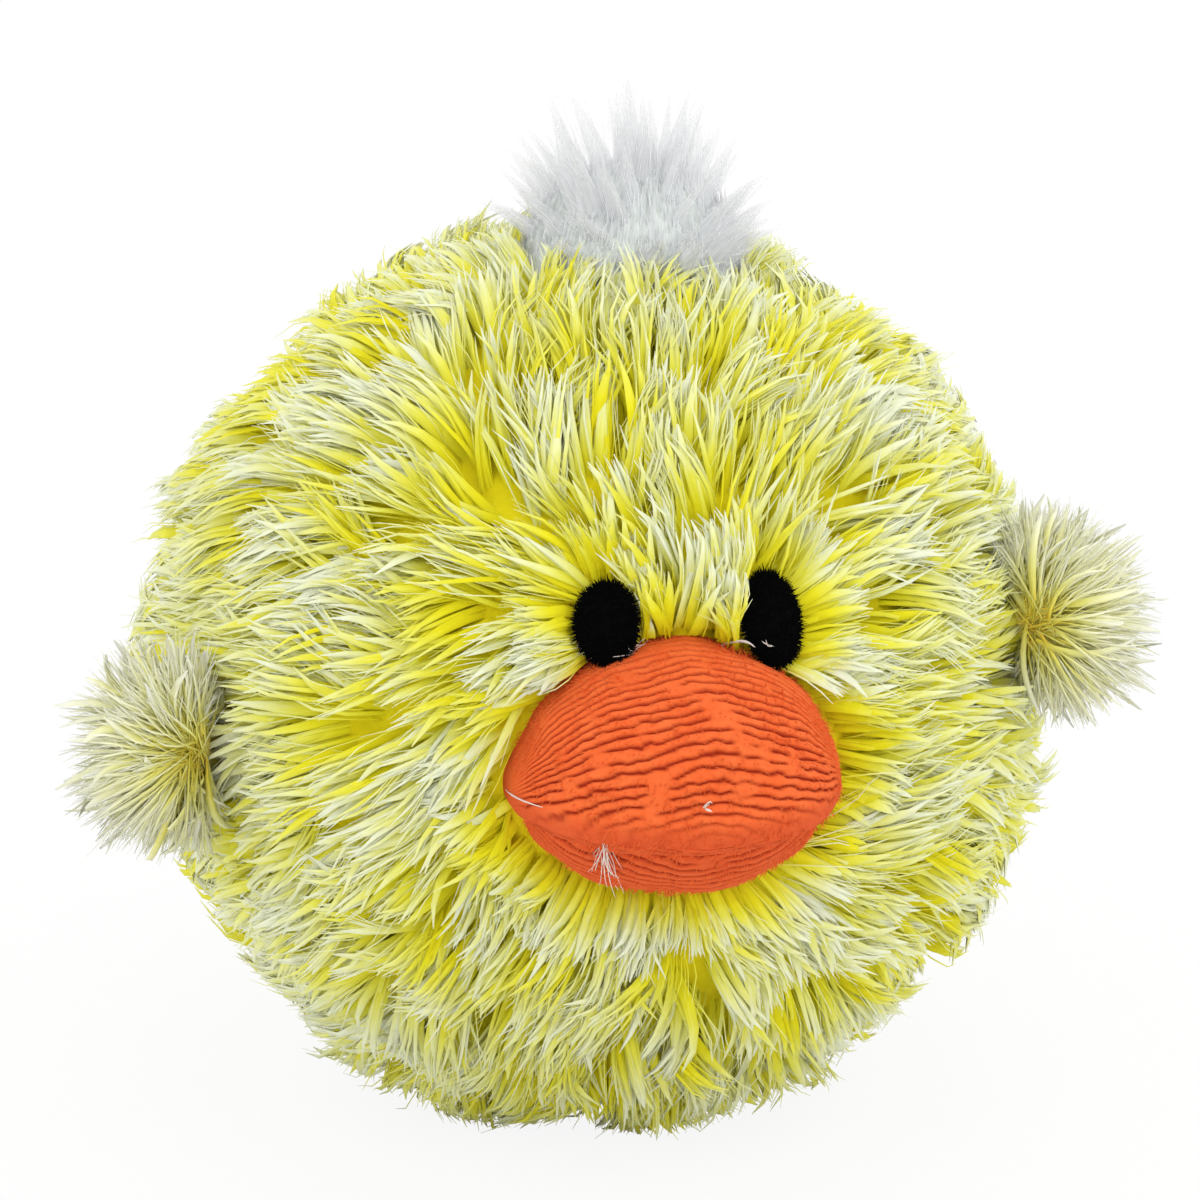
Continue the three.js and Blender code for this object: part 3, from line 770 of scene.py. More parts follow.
def coverLocks(setup, dice):
    openings = allPartings()
    spreads, stray, steps = setup["spread"], setup["stray"], pileLayers["locks"]["points"]
    groups = jittered(spiralPoints(setup["groups"]), spreads["groups"], dice)
    locks = jittered(spiralPoints(setup["locks"]), spreads["locks"], dice)
    rims, ways, rimLength, rimSweep = allRims(1, dice)
    groupOf = nearestOf(np.concatenate([locks, rims]), groups)

    # out of the photograph's sight the pile swings more
    free = 1 - smoothStep(groups @ towardsCamera, *setup["sightEdge"])
    together, hidden, single = setup["swing"]
    swing = waves(groups, 0.5, 3) * (together + hidden * free) + dice.normal(size=len(groups)) * single
    groupFlow = turnedAbout(groups, combedFlow(groups, setup), swing)
    lift = 1 + 0.1 * waves(groups, 0.45, 5) + dice.normal(size=len(groups)) * 0.07
    lay = 1 - 0.2 * waves(groups, 0.45, 5) + dice.normal(size=len(groups)) * 0.12
    groupPaths = sweepFrom(
        groups, groupFlow, setup["rootRadius"], setup["reach"] * lift, setup["sweep"] * lay, steps,
    )

    flow = along(locks, groupFlow[groupOf[:len(locks)]] + dice.normal(size=locks.shape) * stray["locks"])
    strength, around = setup["openingPull"]
    for place, size in openings:
        pull = strength * np.exp(-(angleTo(place, locks) / (size * around)) ** 2)
        flow = along(locks, flow + pull[:, None] * awayFrom(place, locks))
    rimFlow = combedFlow(rims, setup) + setup["fromRim"] * ways
    rimFlow = along(rims, rimFlow + dice.normal(size=rims.shape) * stray["rims"])
    locks, flow = np.concatenate([locks, rims]), np.concatenate([flow, rimFlow])
    sweep = np.concatenate([np.ones(setup["locks"]), rimSweep])
    turn = (setup["sweep"] * sweep / pileRadius)[:, None]
    base = np.concatenate([
        np.full(setup["locks"], setup["rootRadius"]), np.full(len(rims), setup["rimRadius"]),
    ])
    height = pileHeights(np.cos(turn) * locks + np.sin(turn) * flow, setup) + setup["over"] - base
    uneven = np.clip(dice.normal(1, 0.1, len(locks)), 0.7, 1.25)
    long = np.concatenate([np.ones(setup["locks"]), rimLength]) * uneven
    long *= height / setup["reach"]
    lie = dice.uniform(1.25, 1.9, len(locks))
    paths = sweepFrom(
        locks, flow, base, setup["reach"] * lift[groupOf] * long,
        setup["sweep"] * lay[groupOf] * sweep * dice.uniform(0.85, 1.15, len(locks)), steps, lie,
    )
    together = setup["groupGather"] * dice.uniform(0.4, 1.2, len(locks)) * smoothStep(sweep, 0.5, 1)
    paths = gathered(paths, groupPaths[groupOf], together, 1.3)
    bend = dice.normal(size=len(locks)) * setup["bend"] * sweep
    paths = curled(paths, np.cross(locks, flow), bend, np.full(len(locks), setup["wave"]), dice)
    tips = unit(paths[:, -1])
    tones = 0.45 + 0.2 * waves(tips, 0.3, 8) + 0.11 * dice.normal(size=len(locks))
    dip, around = setup["openingDip"]
    for place, size in openings:
        tones -= dip * np.exp(-(angleTo(place, tips) / (size * around)) ** 4)
    return {
        "roots": locks, "flow": flow, "paths": paths, "tones": tones, "reach": lift[groupOf] * long,
        "sweep": lay[groupOf] * sweep, "lie": lie, "base": base,
    }


def coverLayer(layer, locks, setup, dice):
    # roots, paths, radii and tones of one layer of the pile
    if "count" in layer:
        roots = jittered(spiralPoints(layer["count"]), setup["spread"]["strands"], dice)
        rims = allRims(layer["count"] / setup["locks"], dice)[0]
        roots = np.concatenate([roots, rims])
        of = nearestOf(roots, locks["roots"])
        flow = along(roots, locks["flow"][of] + dice.normal(size=roots.shape) * setup["stray"]["strands"])
        long = np.clip(dice.normal(1, 0.09, len(roots)), 0.7, 1.22)
        paths = sweepFrom(
            roots, flow, locks["base"][of], setup["reach"] * locks["reach"][of] * long,
            setup["sweep"] * locks["sweep"][of] * long, layer["points"], locks["lie"][of],
        )
        together = layer["gather"] * dice.uniform(0.55, 1.15, len(roots))
        paths = gathered(paths, locks["paths"][of], together, 0.9)
        sway = dice.normal(size=len(roots)) * setup["bend"] * 0.4
        paths = curled(paths, np.cross(roots, flow), sway, np.full(len(roots), setup["wave"]), dice)
    else:
        roots, of, paths = locks["roots"], np.arange(len(locks["roots"])), locks["paths"]
    tones = np.clip(locks["tones"][of] + layer["pale"] + dice.normal(size=len(roots)) * 0.07, 0.01, 0.96)
    radii = spread(layer["width"] * dice.uniform(0.75, 1.25, len(roots)), layer["points"], layer["profile"])
    paths, kept = clearOf(paths + ballCentre, lambda points: pileBlocked(points, layer["width"]))
    paths[:, :, 2] = np.maximum(paths[:, :, 2], layer["width"] * 1.3)
    return roots[kept], paths[kept], radii[kept], tones[kept]


yellowPile = pileMaterial(
    "yellowPile",
    [
        (0.0, rgb(226, 210, 14)),
        (0.34, rgb(235, 226, 30)),
        (0.5, rgb(236, 233, 82)),
        (0.64, rgb(237, 238, 148)),
        (0.84, rgb(238, 242, 210)),
    ],
    0.55, shade=0.15,
)


def azimuthOf(normals):
    return np.degrees(np.arctan2(normals[:, 0], -normals[:, 1])) % 360


def makeCover(setup):
    dice = np.random.default_rng(setup["seed"])
    locks = coverLocks(setup, dice)
    for layer, kind in pileLayers.items():
        roots, paths, radii, tones = coverLayer(kind, locks, setup, dice)
        azimuths = azimuthOf(roots)
        for index, name in enumerate(goreSeams):
            here = (azimuths >= seamEnds[index]) & (azimuths < seamEnds[index + 1])
            piece = makeStrands(
                f"pile_{name}_{layer}", paths[here], radii[here], tones[here], yellowPile, pull=kind["pull"],
            )
            assign(piece, "ball", "yellow_pile", "cover_gore_" + name)
        print("cover pile:", len(roots), layer)


makeCover(coverPile)


# Cover backing: the knitted cloth that the pile stands on, swollen between its seams

backing = {
    "radius": pileRadius - 5.4 * mm,
    "eyeDip": 2.6 * mm,
    "eyeReach": 9.0,  # degrees round each eye
    "thickness": 1.2 * mm,
    "seamDip": 0.6 * mm,
    "seamGap": 0.2 * mm,
    "segments": 120,
    "rings": 60,
    "fill": 0.85,
}


def backingMaterial():
    shade = Shade("yellowBacking")
    mottle = shade.noise(260, 4)
    colour = shade.mix(mottle, rgb(214, 196, 8), rgb(240, 226, 30))
    knit = shade.noise(1400, 2)
    return shade.surface(colour, 0.9, plushShine, Normal=shade.bump(knit, 0.5, 0.3 * mm))


def makeBacking(setup):
    material = backingMaterial()
    for index, name in enumerate(goreSeams):
        shape = roundShape(setup["segments"], setup["rings"], setup["radius"])
        start, end = seamEnds[index], seamEnds[index + 1]
        for seam, side in ((start, 1), (end, -1)):
            turn = math.radians(seam)
            keepSide(shape, Vector((math.cos(turn), math.sin(turn), 0)) * side, setup["seamGap"])
        middle, half = math.radians((start + end) / 2), math.radians(end - start) / 2
        for vertex in shape.verts:
            level = math.hypot(vertex.co.x, vertex.co.y) / setup["radius"]
            turn = math.atan2(vertex.co.x, -vertex.co.y) - middle
            share = abs((turn + math.pi) % (2 * math.pi) - math.pi) / half
            dip = setup["seamDip"] * level * share ** 6
            for eye in eyeFrames.values():
                angle = math.degrees(vertex.co.angle(Vector(eye["axes"][2])))
                dip += setup["eyeDip"] * math.exp(-(angle / setup["eyeReach"]) ** 4)
            vertex.co *= 1 - dip / setup["radius"]
        bmesh.ops.solidify(shape, geom=shape.faces[:], thickness=setup["thickness"])
        bmesh.ops.translate(shape, verts=shape.verts, vec=Vector(ballCentre))
        bmesh.ops.recalc_face_normals(shape, faces=shape.faces)
        piece = fromBmesh("backing_" + name, shape, material)
        assign(piece, "ball", "yellow_pile", "cover_gore_" + name, fill=setup["fill"])
    print("backing ready")


makeBacking(backing)


def fanPaths(roots, tips, lift, steps):
    # strands that leave their roots along lift and bend over to their tips
    share = np.linspace(0, 1, steps)[None, :, None]
    control = (roots + lift)[:, None, :]
    bent = roots[:, None, :] * (1 - share) ** 2 + control * 2 * share * (1 - share)
    return bent + tips[:, None, :] * share ** 2


def fanned(tilts, turns):
    # directions at a tilt from the third axis
    return np.column_stack([np.sin(tilts) * np.cos(turns), np.sin(tilts) * np.sin(turns), np.cos(tilts)])


# Crown: a felt patch, and the fine white pile that grows out of it, a soft dome with longer spikes

crown = {
    "flames": {  # bunches of parallel fibres that thin out to nothing
        "count": 120, "tilt": 62, "length": (18.5 * mm, 28.5 * mm), "width": 1.35 * mm, "points": 8,
        "sides": 8, "profile": [1, 1, 1, 0.95, 0.8, 0.5, 0.04], "pull": 0.5, "tone": 0.8,
    },
    "fringe": {
        "count": 500, "tilt": 62, "length": (19 * mm, 28.5 * mm), "width": 0.045 * mm, "points": 5,
        "profile": [1, 1, 0.9, 0.6, 0.2], "pull": 0.5, "tone": 0.9, "gather": 0.75,
    },
    "down": {
        "radius": 13.4 * mm, "height": 16.5 * mm, "lumps": 0.5 * mm, "lumpSize": 9 * mm, "grain": 0.12 * mm,
        "grainSize": 1.6 * mm, "ridges": 0.3 * mm, "ridgeWidth": 0.3, "cuts": 6, "fill": 0.9,
    },
    "fuzz": {  # ends of the down's fibres, which lie up along it
        "count": 5200, "length": 3.6 * mm, "width": 0.05 * mm, "points": 4,
        "profile": [1, 0.9, 0.7, 0.2], "pull": 0.8, "tone": 0.25,
    },
    "lean": -1.6 * mm,
    "felt": 0.9 * mm,
    "seed": 31,
}


def bunch(kind, setup, dice):
    # roots, tips and lifts in the patch's own frame, tips evenly spread over the dome
    count, most = kind["count"], math.radians(kind["tilt"])
    tilts = most * dice.uniform(0, 1, count) ** 0.6
    directions = fanned(tilts, dice.uniform(0, 2 * math.pi, count))
    low, high = kind["length"]
    length = high - (high - low) * (tilts / most) ** 1.5 * 0.8 - (high - low) * dice.uniform(0, 0.6, count)
    roots = directions * [1, 1, 0] * patchRadius * 0.9 + [0, 0, patchHeight]
    roots += dice.normal(size=roots.shape) * [1, 1, 0] * patchRadius * 0.12
    tips = directions * length[:, None] + [setup["lean"], 0, patchHeight]
    return roots, tips, np.array([0, 0, 0.28]) * length[:, None] + (tips - roots) * 0.2


def tuftPiece(name, paths, kind, material, dice):
    radii = spread(kind["width"] * dice.uniform(0.65, 1.3, len(paths)), kind["points"], kind["profile"])
    tones = np.clip(kind["tone"] + 0.15 * dice.normal(size=len(paths)), 0.02, 0.96)
    middle = ballCentre + crownOut * pileRadius * 0.85
    places = paths @ crownAxes + ballCentre
    sides = kind.get("sides", 3)
    piece = makeStrands("tuft_" + name, places, radii, tones, material, middle, kind["pull"], sides)
    assign(piece, "ball", "white_pile", "crown_tuft")


def downPlaces(ways, setup):
    # the surface of the down in the patch's own frame, for directions out of its middle
    down = setup["down"]
    places = ways * down["radius"]
    swell = waves(places, down["lumpSize"], setup["seed"]) * down["lumps"]
    swell += waves(places, down["grainSize"], setup["seed"] + 1) * down["grain"]
    spokes = unit(ways * [1, 1, 0.12])  # nearly the same all the way up a ridge
    ridges = waves(spokes, down["ridgeWidth"], setup["seed"] + 2) * down["ridges"]
    swell += ridges * smoothStep(ways[:, 2], 0.1, 0.5)
    places = places + ways * swell[:, None]
    places[:, 2] *= np.where(places[:, 2] > 0, down["height"] / down["radius"], 0.05)
    return places + [setup["lean"] / 2, 0, patchHeight + 0.2 * mm]


def makeTuft(setup):
    dice = np.random.default_rng(setup["seed"])
    stops = [
        (0.0, rgb(228, 235, 226)),
        (0.35, rgb(238, 243, 242)),
        (0.7, rgb(248, 250, 252)),
        (1.0, rgb(252, 252, 253)),
    ]
    flamePile = pileMaterial("whiteFlames", stops, 0.3, 0.3, 0.06, 0.95, (0.3, 0.05))
    finePile = pileMaterial("whitePile", stops, 0.3, 0.15, 0.05, 0.95)

    kind = setup["flames"]
    roots, tips, lifts = bunch(kind, setup, dice)
    flames = fanPaths(roots, tips, lifts, kind["points"])
    tuftPiece("flames", flames, kind, flamePile, dice)
    flameWays = unit(flames[:, -1] - [0, 0, patchHeight])

    kind = setup["fringe"]
    roots, tips, lifts = bunch(kind, setup, dice)
    guides = flames[nearestOf(unit(tips - [0, 0, patchHeight]), flameWays)]
    together = kind["gather"] * dice.uniform(0.5, 1.2, len(roots))
    fringe = gathered(fanPaths(roots, tips, lifts, kind["points"]), guides, together, 1.1)
    tuftPiece("fringe", fringe, kind, finePile, dice)

    kind = setup["fuzz"]
    ways = spiralPoints(kind["count"] * 2)
    ways = jittered(ways[ways[:, 2] > 0.02], 1.5, dice)
    roots, ahead = downPlaces(ways, setup), downPlaces(unit(ways + [0, 0, 0.1]), setup)
    course = unit(unit(ahead - roots) + ways * 0.3 + dice.normal(size=ways.shape) * 0.16)
    reach = kind["length"] * dice.uniform(0.5, 1.2, len(ways))[:, None]
    fuzz = fanPaths(roots - ways * 0.3 * mm, roots + course * reach, ways * 0.5 * mm, kind["points"])
    tuftPiece("fuzz", fuzz, kind, finePile, dice)

    shape = bmesh.new()
    bmesh.ops.create_icosphere(shape, subdivisions=setup["down"]["cuts"], radius=1)
    ways = unit(np.array([vertex.co for vertex in shape.verts], float))
    for vertex, place in zip(shape.verts, downPlaces(ways, setup)):
        vertex.co = place @ crownAxes + ballCentre
    downFleece = clothMaterial("whiteDown", rgb(216, 225, 216), rgb(230, 237, 233), 500)
    piece = fromBmesh("tuft_down", shape, downFleece)
    assign(piece, "ball", "white_pile", "crown_tuft", fill=setup["down"]["fill"])


def makePatch(setup):
    shade = Shade("whiteFelt")
    colour = shade.mix(shade.noise(900, 4, 0.7), rgb(206, 212, 204), rgb(232, 236, 232))
    felt = shade.surface(colour, 0.95, Normal=shade.bump(shade.noise(2200, 3), 0.6, 0.2 * mm))
    shape = bmesh.new()
    bmesh.ops.create_cone(
        shape, cap_ends=True, segments=72, radius1=patchRadius, radius2=patchRadius, depth=setup["felt"],
    )
    rims = [edge for edge in shape.edges if any(len(face.verts) > 4 for face in edge.link_faces)]
    bmesh.ops.bevel(
        shape, geom=rims, affect="EDGES", offset=setup["felt"] / 4, segments=3, profile=0.5, material=-1,
    )
    bmesh.ops.poke(shape, faces=[face for face in shape.faces if len(face.verts) > 4])
    setAlong(shape, crownAxes, ballCentre + crownOut * (patchHeight - setup["felt"] / 2))
    assign(fromBmesh("patch", shape, felt), "ball", "white_felt", "crown_patch")


makeTuft(crown)
makePatch(crown)
print("crown ready")


# Wings: small sewn nubs whose long pale locks fan out from a warm spot near the root

wings = {
    "layers": {
        "locks": {
            "count": 120, "points": 7, "width": 0.46 * mm, "profile": [0.5, 0.8, 1, 1, 0.95, 0.75, 0.2],
            "gather": 0, "uneven": (0.75, 1.14), "bend": 2.6 * mm,
        },
        "wisps": {
            "count": 1300, "points": 5, "width": 0.2 * mm, "profile": [0.6, 1, 1, 0.8, 0.2],
            "gather": 0.4, "uneven": (0.6, 1.04), "bend": 1.1 * mm,
        },
        "fibres": {
            "count": 2400, "points": 5, "width": 0.08 * mm, "profile": [1, 1, 0.9, 0.75, 0.25],
            "gather": 0.34, "uneven": (0.55, 1.04), "bend": 0.9 * mm,
        },
    },
    "scatter": (0.9 * mm, 1.1 * mm),  # how far roots and tips stray from a plain fan
    "heart": -0.8,  # where the fan starts, as a share of the nub's half height, towards the ball
    "flat": 0.22,  # the locks lie along the two panels
    "standing": 0.6,  # and none stands off them more than this
    "reach": (12 * mm, 13.4 * mm, 13.6 * mm),  # length of the locks to the face, upwards and outwards
    "behind": -0.5,  # how far back towards the ball the fan still has locks
    "core": 0.5,  # the sewn nub under the pile, as a share of the node
    "spotForward": 1.5,  # how far the warm spot is turned towards the face
    "spotSize": 15,  # degrees
    "segments": 32,
    "rings": 20,
    "fill": 0.7,
    "seed": 41,
}

wingPile = pileMaterial(
    "wingPile",
    [
        (0.0, rgb(240, 186, 76)),
        (0.14, rgb(238, 220, 74)),
        (0.4, rgb(243, 239, 136)),
        (0.64, rgb(247, 246, 192)),
        (0.92, rgb(250, 251, 234)),
    ],
    0.45, shade=0.08,
)


def makeWing(side, setup):
    dice = np.random.default_rng(setup["seed"] + len(side))
    names = [f"wing_{side}_front", f"wing_{side}_back"]
    axes, middle, semis = (wingFrames[side][key] for key in ("axes", "middle", "semis"))
    forward = -1 if side == "left" else 1  # which way the face lies along the nub's level axis
    spot = unit(np.array([forward * setup["spotForward"], -0.2, 1.0]))
    heart = np.array([0, 0, semis[2] * setup["heart"]])
    guides, guideWays = None, None
    for layer, kind in setup["layers"].items():
        ways = unit(jittered(spiralPoints(kind["count"]), 4, dice) * [setup["flat"], 1, 1])
        ways = ways[(ways[:, 2] > setup["behind"]) & (np.abs(ways[:, 0]) < setup["standing"])]
        planted = dice.uniform(0.1, 0.9, len(ways))[:, None]
        sides = np.sign(ways[:, :1]) * [1, 0, 0]  # which of the two panels a lock grows on
        roots = heart + (ways * planted + sides * (1.2 - planted)) * semis * setup["core"]
        reach = 1 / np.sqrt(np.sum((ways / setup["reach"]) ** 2, axis=1))
        reach = reach * dice.uniform(*kind["uneven"], len(ways))
        shortened = reach * (1 - 0.4 * smoothStep(-ways[:, 2], 0, 0.5))
        tips = heart + ways * shortened[:, None] + sides * 1.2 * mm
        roots, tips = (
            ends + dice.normal(size=ways.shape) * [0.4, 1, 1] * stray
            for ends, stray in zip((roots, tips), setup["scatter"])
        )
        sideways = np.clip(dice.normal(size=ways.shape), -1.2, 1.2) * kind["bend"]
        paths = fanPaths(roots, tips, (tips - roots) * 0.5 + sideways, kind["points"])
        if guides is None:
            guides, guideWays = paths, ways
        else:
            together = kind["gather"] * dice.uniform(0.6, 1.1, len(ways))
            paths = gathered(paths, guides[nearestOf(ways, guideWays)], together, 1.0)
        radii = spread(kind["width"] * dice.uniform(0.7, 1.3, len(ways)), kind["points"], kind["profile"])
        tones = 0.54 + np.clip(dice.normal(size=len(ways)), -1.2, 2) * 0.16
        tones -= 0.6 * np.exp(-(angleTo(spot, ways) / setup["spotSize"]) ** 2)
        paths, tones = (paths + middle) @ axes + ballCentre, np.clip(tones, 0.02, 0.96)
        for name, half in zip(names, (ways[:, 0] * forward > 0, ways[:, 0] * forward <= 0)):
            piece = makeStrands(
                f"{name}_{layer}", paths[half], radii[half], tones[half], wingPile,
                ballCentre + middle @ axes, 0.45,
            )
            assign(piece, "wing_" + side, "yellow_pile", name)
    for name in names:
        core = roundShape(setup["segments"], setup["rings"])
        keepSide(core, Vector((forward if name.endswith("front") else -forward, 0, 0)), 0.02)
        bmesh.ops.holes_fill(core, edges=core.edges, sides=0)
        bmesh.ops.scale(core, vec=Vector(semis * setup["core"]), verts=core.verts)
        bmesh.ops.translate(core, vec=Vector(middle + heart), verts=core.verts)
        setAlong(core, axes)
        piece = fromBmesh(name + "_panel", core, wingCloth)
        assign(piece, "wing_" + side, "yellow_pile", name, fill=setup["fill"])


wingCloth = clothMaterial("wingCloth", rgb(228, 206, 96), rgb(238, 224, 130))
for side in ("left", "right"):
    makeWing(side, wings)
print("wings ready")


# Eyes: domed ovals of very short black pile with a ragged rim

eyes = {
    "strands": 1700,
    "points": 3,
    "length": 0.5 * mm,
    "width": 0.08 * mm,
    "segments": 64,
    "rings": 32,
    "fill": 0.7,
    "room": (0.75 * mm, 0.2 * mm, 0),  # for the nap at the rim, across and up
    "underside": 0.3,  # how much of the lower half's depth is kept
    "seed": 51,
}


def blackMaterial():
    shade = Shade("blackPile")
    colour = shade.mix(shade.noise(1500, 3), rgb(3, 3, 3), rgb(13, 13, 13))
    return shade.surface(colour, 0.95, 0.05)


def makeEye(name, eye, setup, material):
    half, middle, axes = eye["half"], eye["middle"], eye["axes"]
    shape = roundShape(setup["segments"], setup["rings"])
    half = half - setup["room"]
    bmesh.ops.scale(shape, vec=Vector(half), verts=shape.verts)
    for vertex in shape.verts:
        if vertex.co.z < 0:
            vertex.co.z *= setup["underside"]
    bmesh.ops.translate(shape, vec=Vector(middle), verts=shape.verts)
    setAlong(shape, axes)
    assign(fromBmesh(name + "_pad", shape, material), "ball", "black_pile", name, fill=setup["fill"])
    dice = np.random.default_rng(setup["seed"])
    normals = jittered(spiralPoints(setup["strands"] * 2), 2, dice)
    normals = normals[normals[:, 2] > -0.1]
    outward = unit(normals / half)
    lean = dice.normal(size=normals.shape) * 0.35
    share = np.linspace(0, 1, setup["points"])[None, :, None]
    length = setup["length"] * dice.uniform(0.6, 1.4, len(normals))
    paths = (normals * half)[:, None, :] + (outward + lean)[:, None, :] * length[:, None, None] * share
    paths = (paths + middle) @ axes + ballCentre
    radii = spread(setup["width"] * dice.uniform(0.7, 1.3, len(normals)), setup["points"], [1, 0.8, 0.2])
    nap = makeStrands(name + "_nap", paths, radii, np.full(len(normals), 0.5), material)
    assign(nap, "ball", "black_pile", name)


blackPile = blackMaterial()
for name, eye in eyeFrames.items():
    makeEye(name, eye, eyes, blackPile)
print("eyes ready")


# Bill: two padded panels of ribbed plush, whose ribs run from corner to corner, and their nap

bill = {
    "pitch": 1.3 * mm,  # from rib to rib at the middle of the bill
    "groove": 0.42 * mm,
    "grooveWidth": 0.19 * mm,
    "nestShift": 1.5 * mm,
    "nestWidth": 0.42,
    "nestPower": 1.9,
    "fuzzy": (0.8 * mm, 4.5 * mm),  # from the mouth, where the ribs come out of the fuzz
    "topFuzz": (21 * mm, 28 * mm),  # from the mouth, where they go into it again
    "lip": 0.22,  # how far the side towards the mouth is flattened
    "lumps": 0.25 * mm,
    "lumpSize": 9 * mm,
    "around": 400,
    "lengthwise": 100,
    "fill": 0.8,
    "napStrands": 5200,
    "napLength": 0.8 * mm,
    "napWidth": 0.055 * mm,
    "seed": 61,
}


def ribGroove(turn, place, semis, setup):
    # from 0 to 1, how deep in a groove a place lies
    # the ribs nest round the middle of the mouth, and turn is the angle up from it
    up = np.abs(turn) * (semis[1] + semis[2]) / 2
    level = np.abs(place[:, 0] - setup["nestShift"]) * setup["nestWidth"]
    nest = (up ** setup["nestPower"] + level ** setup["nestPower"]) ** (1 / setup["nestPower"])
    wander = 0.42 * waves(place, 14 * mm, setup["seed"]) + 0.14 * waves(place, 2.6 * mm, setup["seed"] + 1)
    ribs = nest / setup["pitch"] + wander
    offset = np.abs(ribs - np.round(ribs)) * setup["pitch"]
    broken = smoothStep(waves(place, 5 * mm, setup["seed"] + 2) + 0.92, -0.15, 0.35)
    ends = smoothStep(1 - np.abs(place[:, 0]) / semis[0], 0.01, 0.1)
    fuzz = (0.25 + 0.75 * smoothStep(up, *setup["fuzzy"])) * (1 - 0.65 * smoothStep(up, *setup["topFuzz"]))
    return np.exp(-(offset / setup["grooveWidth"]) ** 2) * broken * ends * fuzz


def billMaterial(name):
    shade = Shade(name)
    groove = shade.node("Attribute", {"attribute_name": "groove"}, output=2)
    fold = shade.node("Attribute", {"attribute_name": "fold"}, output=2)
    plush = shade.mix(shade.noise(420, 4, 0.6), rgb(236, 90, 36), rgb(246, 124, 66))
    # painted shade: the upper panel is darker towards the mouth, under its own edge, and the lower panel,
    # which lies under the upper one, is darker all over
    foldShaded = shade.mix(fold * 0.8, plush, rgb(212, 84, 44))
    # painted shade: the grooves between the ribs are coloured dark red, as shade falls in them
    colour = shade.mix(groove, foldShaded, rgb(150, 34, 10))
    napped = shade.bump(shade.noise(2600, 3, 0.7), 0.6, 0.25 * mm)
    return shade.surface(colour, 0.9, plushShine, Normal=napped)


def lobeTurns(count, upper):
    # angles about the corner axis, close together on the side that shows
    share = np.arange(count) / count
    shown, part, start = math.radians(150), 0.75, -0.1  # the side that shows has this part of the points
    dense = share / part * shown + start
    loose = shown + start + (share - part) / (1 - part) * (2 * math.pi - shown)
    turn = np.where(share < part, dense, loose)
    return turn if upper else -turn


def makeLobe(name, node, semis, upper, setup, material, napMaterial):
    shape = roundShape(setup["around"], setup["lengthwise"])
    count = setup["around"]
    turns = lobeTurns(count, upper)
    places = np.array([vertex.co for vertex in shape.verts], float)
    share = (np.arctan2(places[:, 1], places[:, 0]) / (2 * math.pi)) % 1
    turn = turns[np.round(share * count).astype(int) % count]
    slim = np.hypot(places[:, 0], places[:, 1])
    direction = np.column_stack([places[:, 2], -np.cos(turn) * slim, np.sin(turn) * slim])
    surface = direction * semis
    outward = unit(direction / semis)
    towardsMouth = surface[:, 2] < 0 if upper else surface[:, 2] > 0
    groove = ribGroove(turn, surface, semis, setup)
    shaped = surface - outward * (setup["groove"] * groove)[:, None]
    shaped += outward * (setup["lumps"] * waves(surface, setup["lumpSize"], 7))[:, None]
    shaped[:, 2] = np.where(towardsMouth, shaped[:, 2] * setup["lip"], shaped[:, 2])
    # fold is painted shade: near 1 on the upper panel's flattened side at the mouth, and 0.75 over all of
    # the lower panel
    fold = smoothStep(np.abs(shaped[:, 2]), 3.2 * mm, 0.3 * mm) if upper else np.full(len(places), 0.75)
    for vertex, place in zip(shape.verts, shaped + billCentre):
        vertex.co = place
    bmesh.ops.recalc_face_normals(shape, faces=shape.faces)
    piece = fromBmesh(name + "_panel", shape, material)
    for key, values in (("groove", groove), ("fold", fold)):
        piece.data.attributes.new(key, "FLOAT", "POINT").data.foreach_set("value", values.astype(np.float32))
    assign(piece, "ball", "orange_plush", node, fill=setup["fill"])

    dice = np.random.default_rng(setup["seed"] + upper)
    wanted = setup["napStrands"] if upper else setup["napStrands"] // 2
    turn = dice.uniform(-0.08, 2.4, wanted) * (1 if upper else -1)
    level = dice.uniform(-0.97, 0.97, wanted)
    slim = np.sqrt(1 - level ** 2)
    direction = np.column_stack([level, -np.cos(turn) * slim, np.sin(turn) * slim])
    surface, outward = direction * semis, unit(direction / semis)
    keep = (ribGroove(turn, surface, semis, setup) < 0.3) & (dice.uniform(0, 1, wanted) < slim + 0.2)
    lay = np.column_stack([-np.ones(wanted) * 0.6, np.zeros(wanted), -np.ones(wanted)])
    lay = along(outward, lay + dice.normal(size=lay.shape) * 0.5)
    share = np.linspace(0, 1, 3)[None, :, None]
    length = (setup["napLength"] * dice.uniform(0.5, 1.4, wanted))[:, None, None]
    up = outward[:, None, :]
    paths = surface[:, None, :] + up * length * 0.6 * share + lay[:, None, :] * length * share ** 1.5 * 0.7
    paths = paths - up * 0.15 * mm + billCentre
    radii = spread(setup["napWidth"] * dice.uniform(0.7, 1.3, wanted), 3, [1, 0.8, 0.2])
    tones = np.clip(0.5 + 0.25 * dice.normal(size=wanted), 0.02, 0.98)
    nap = makeStrands(name + "_nap", paths[keep], radii[keep], tones[keep], napMaterial, ballCentre, 0.4)
    assign(nap, "ball", "orange_plush", node)


billPanel = billMaterial("orangePlush")
billNap = pileMaterial("orangeNap", [(0.0, rgb(230, 78, 26)), (1.0, rgb(244, 122, 62))], 0.8, 0.3)
makeLobe("upper_bill", "bill_upper", upperSemis, True, bill, billPanel, billNap)
makeLobe("lower_bill", "bill_lower", lowerSemis, False, bill, billPanel, billNap)
print("bill ready")


# Fibrefill: the two wads round the squeaker and the one in the bill, drawn in a little from their solids

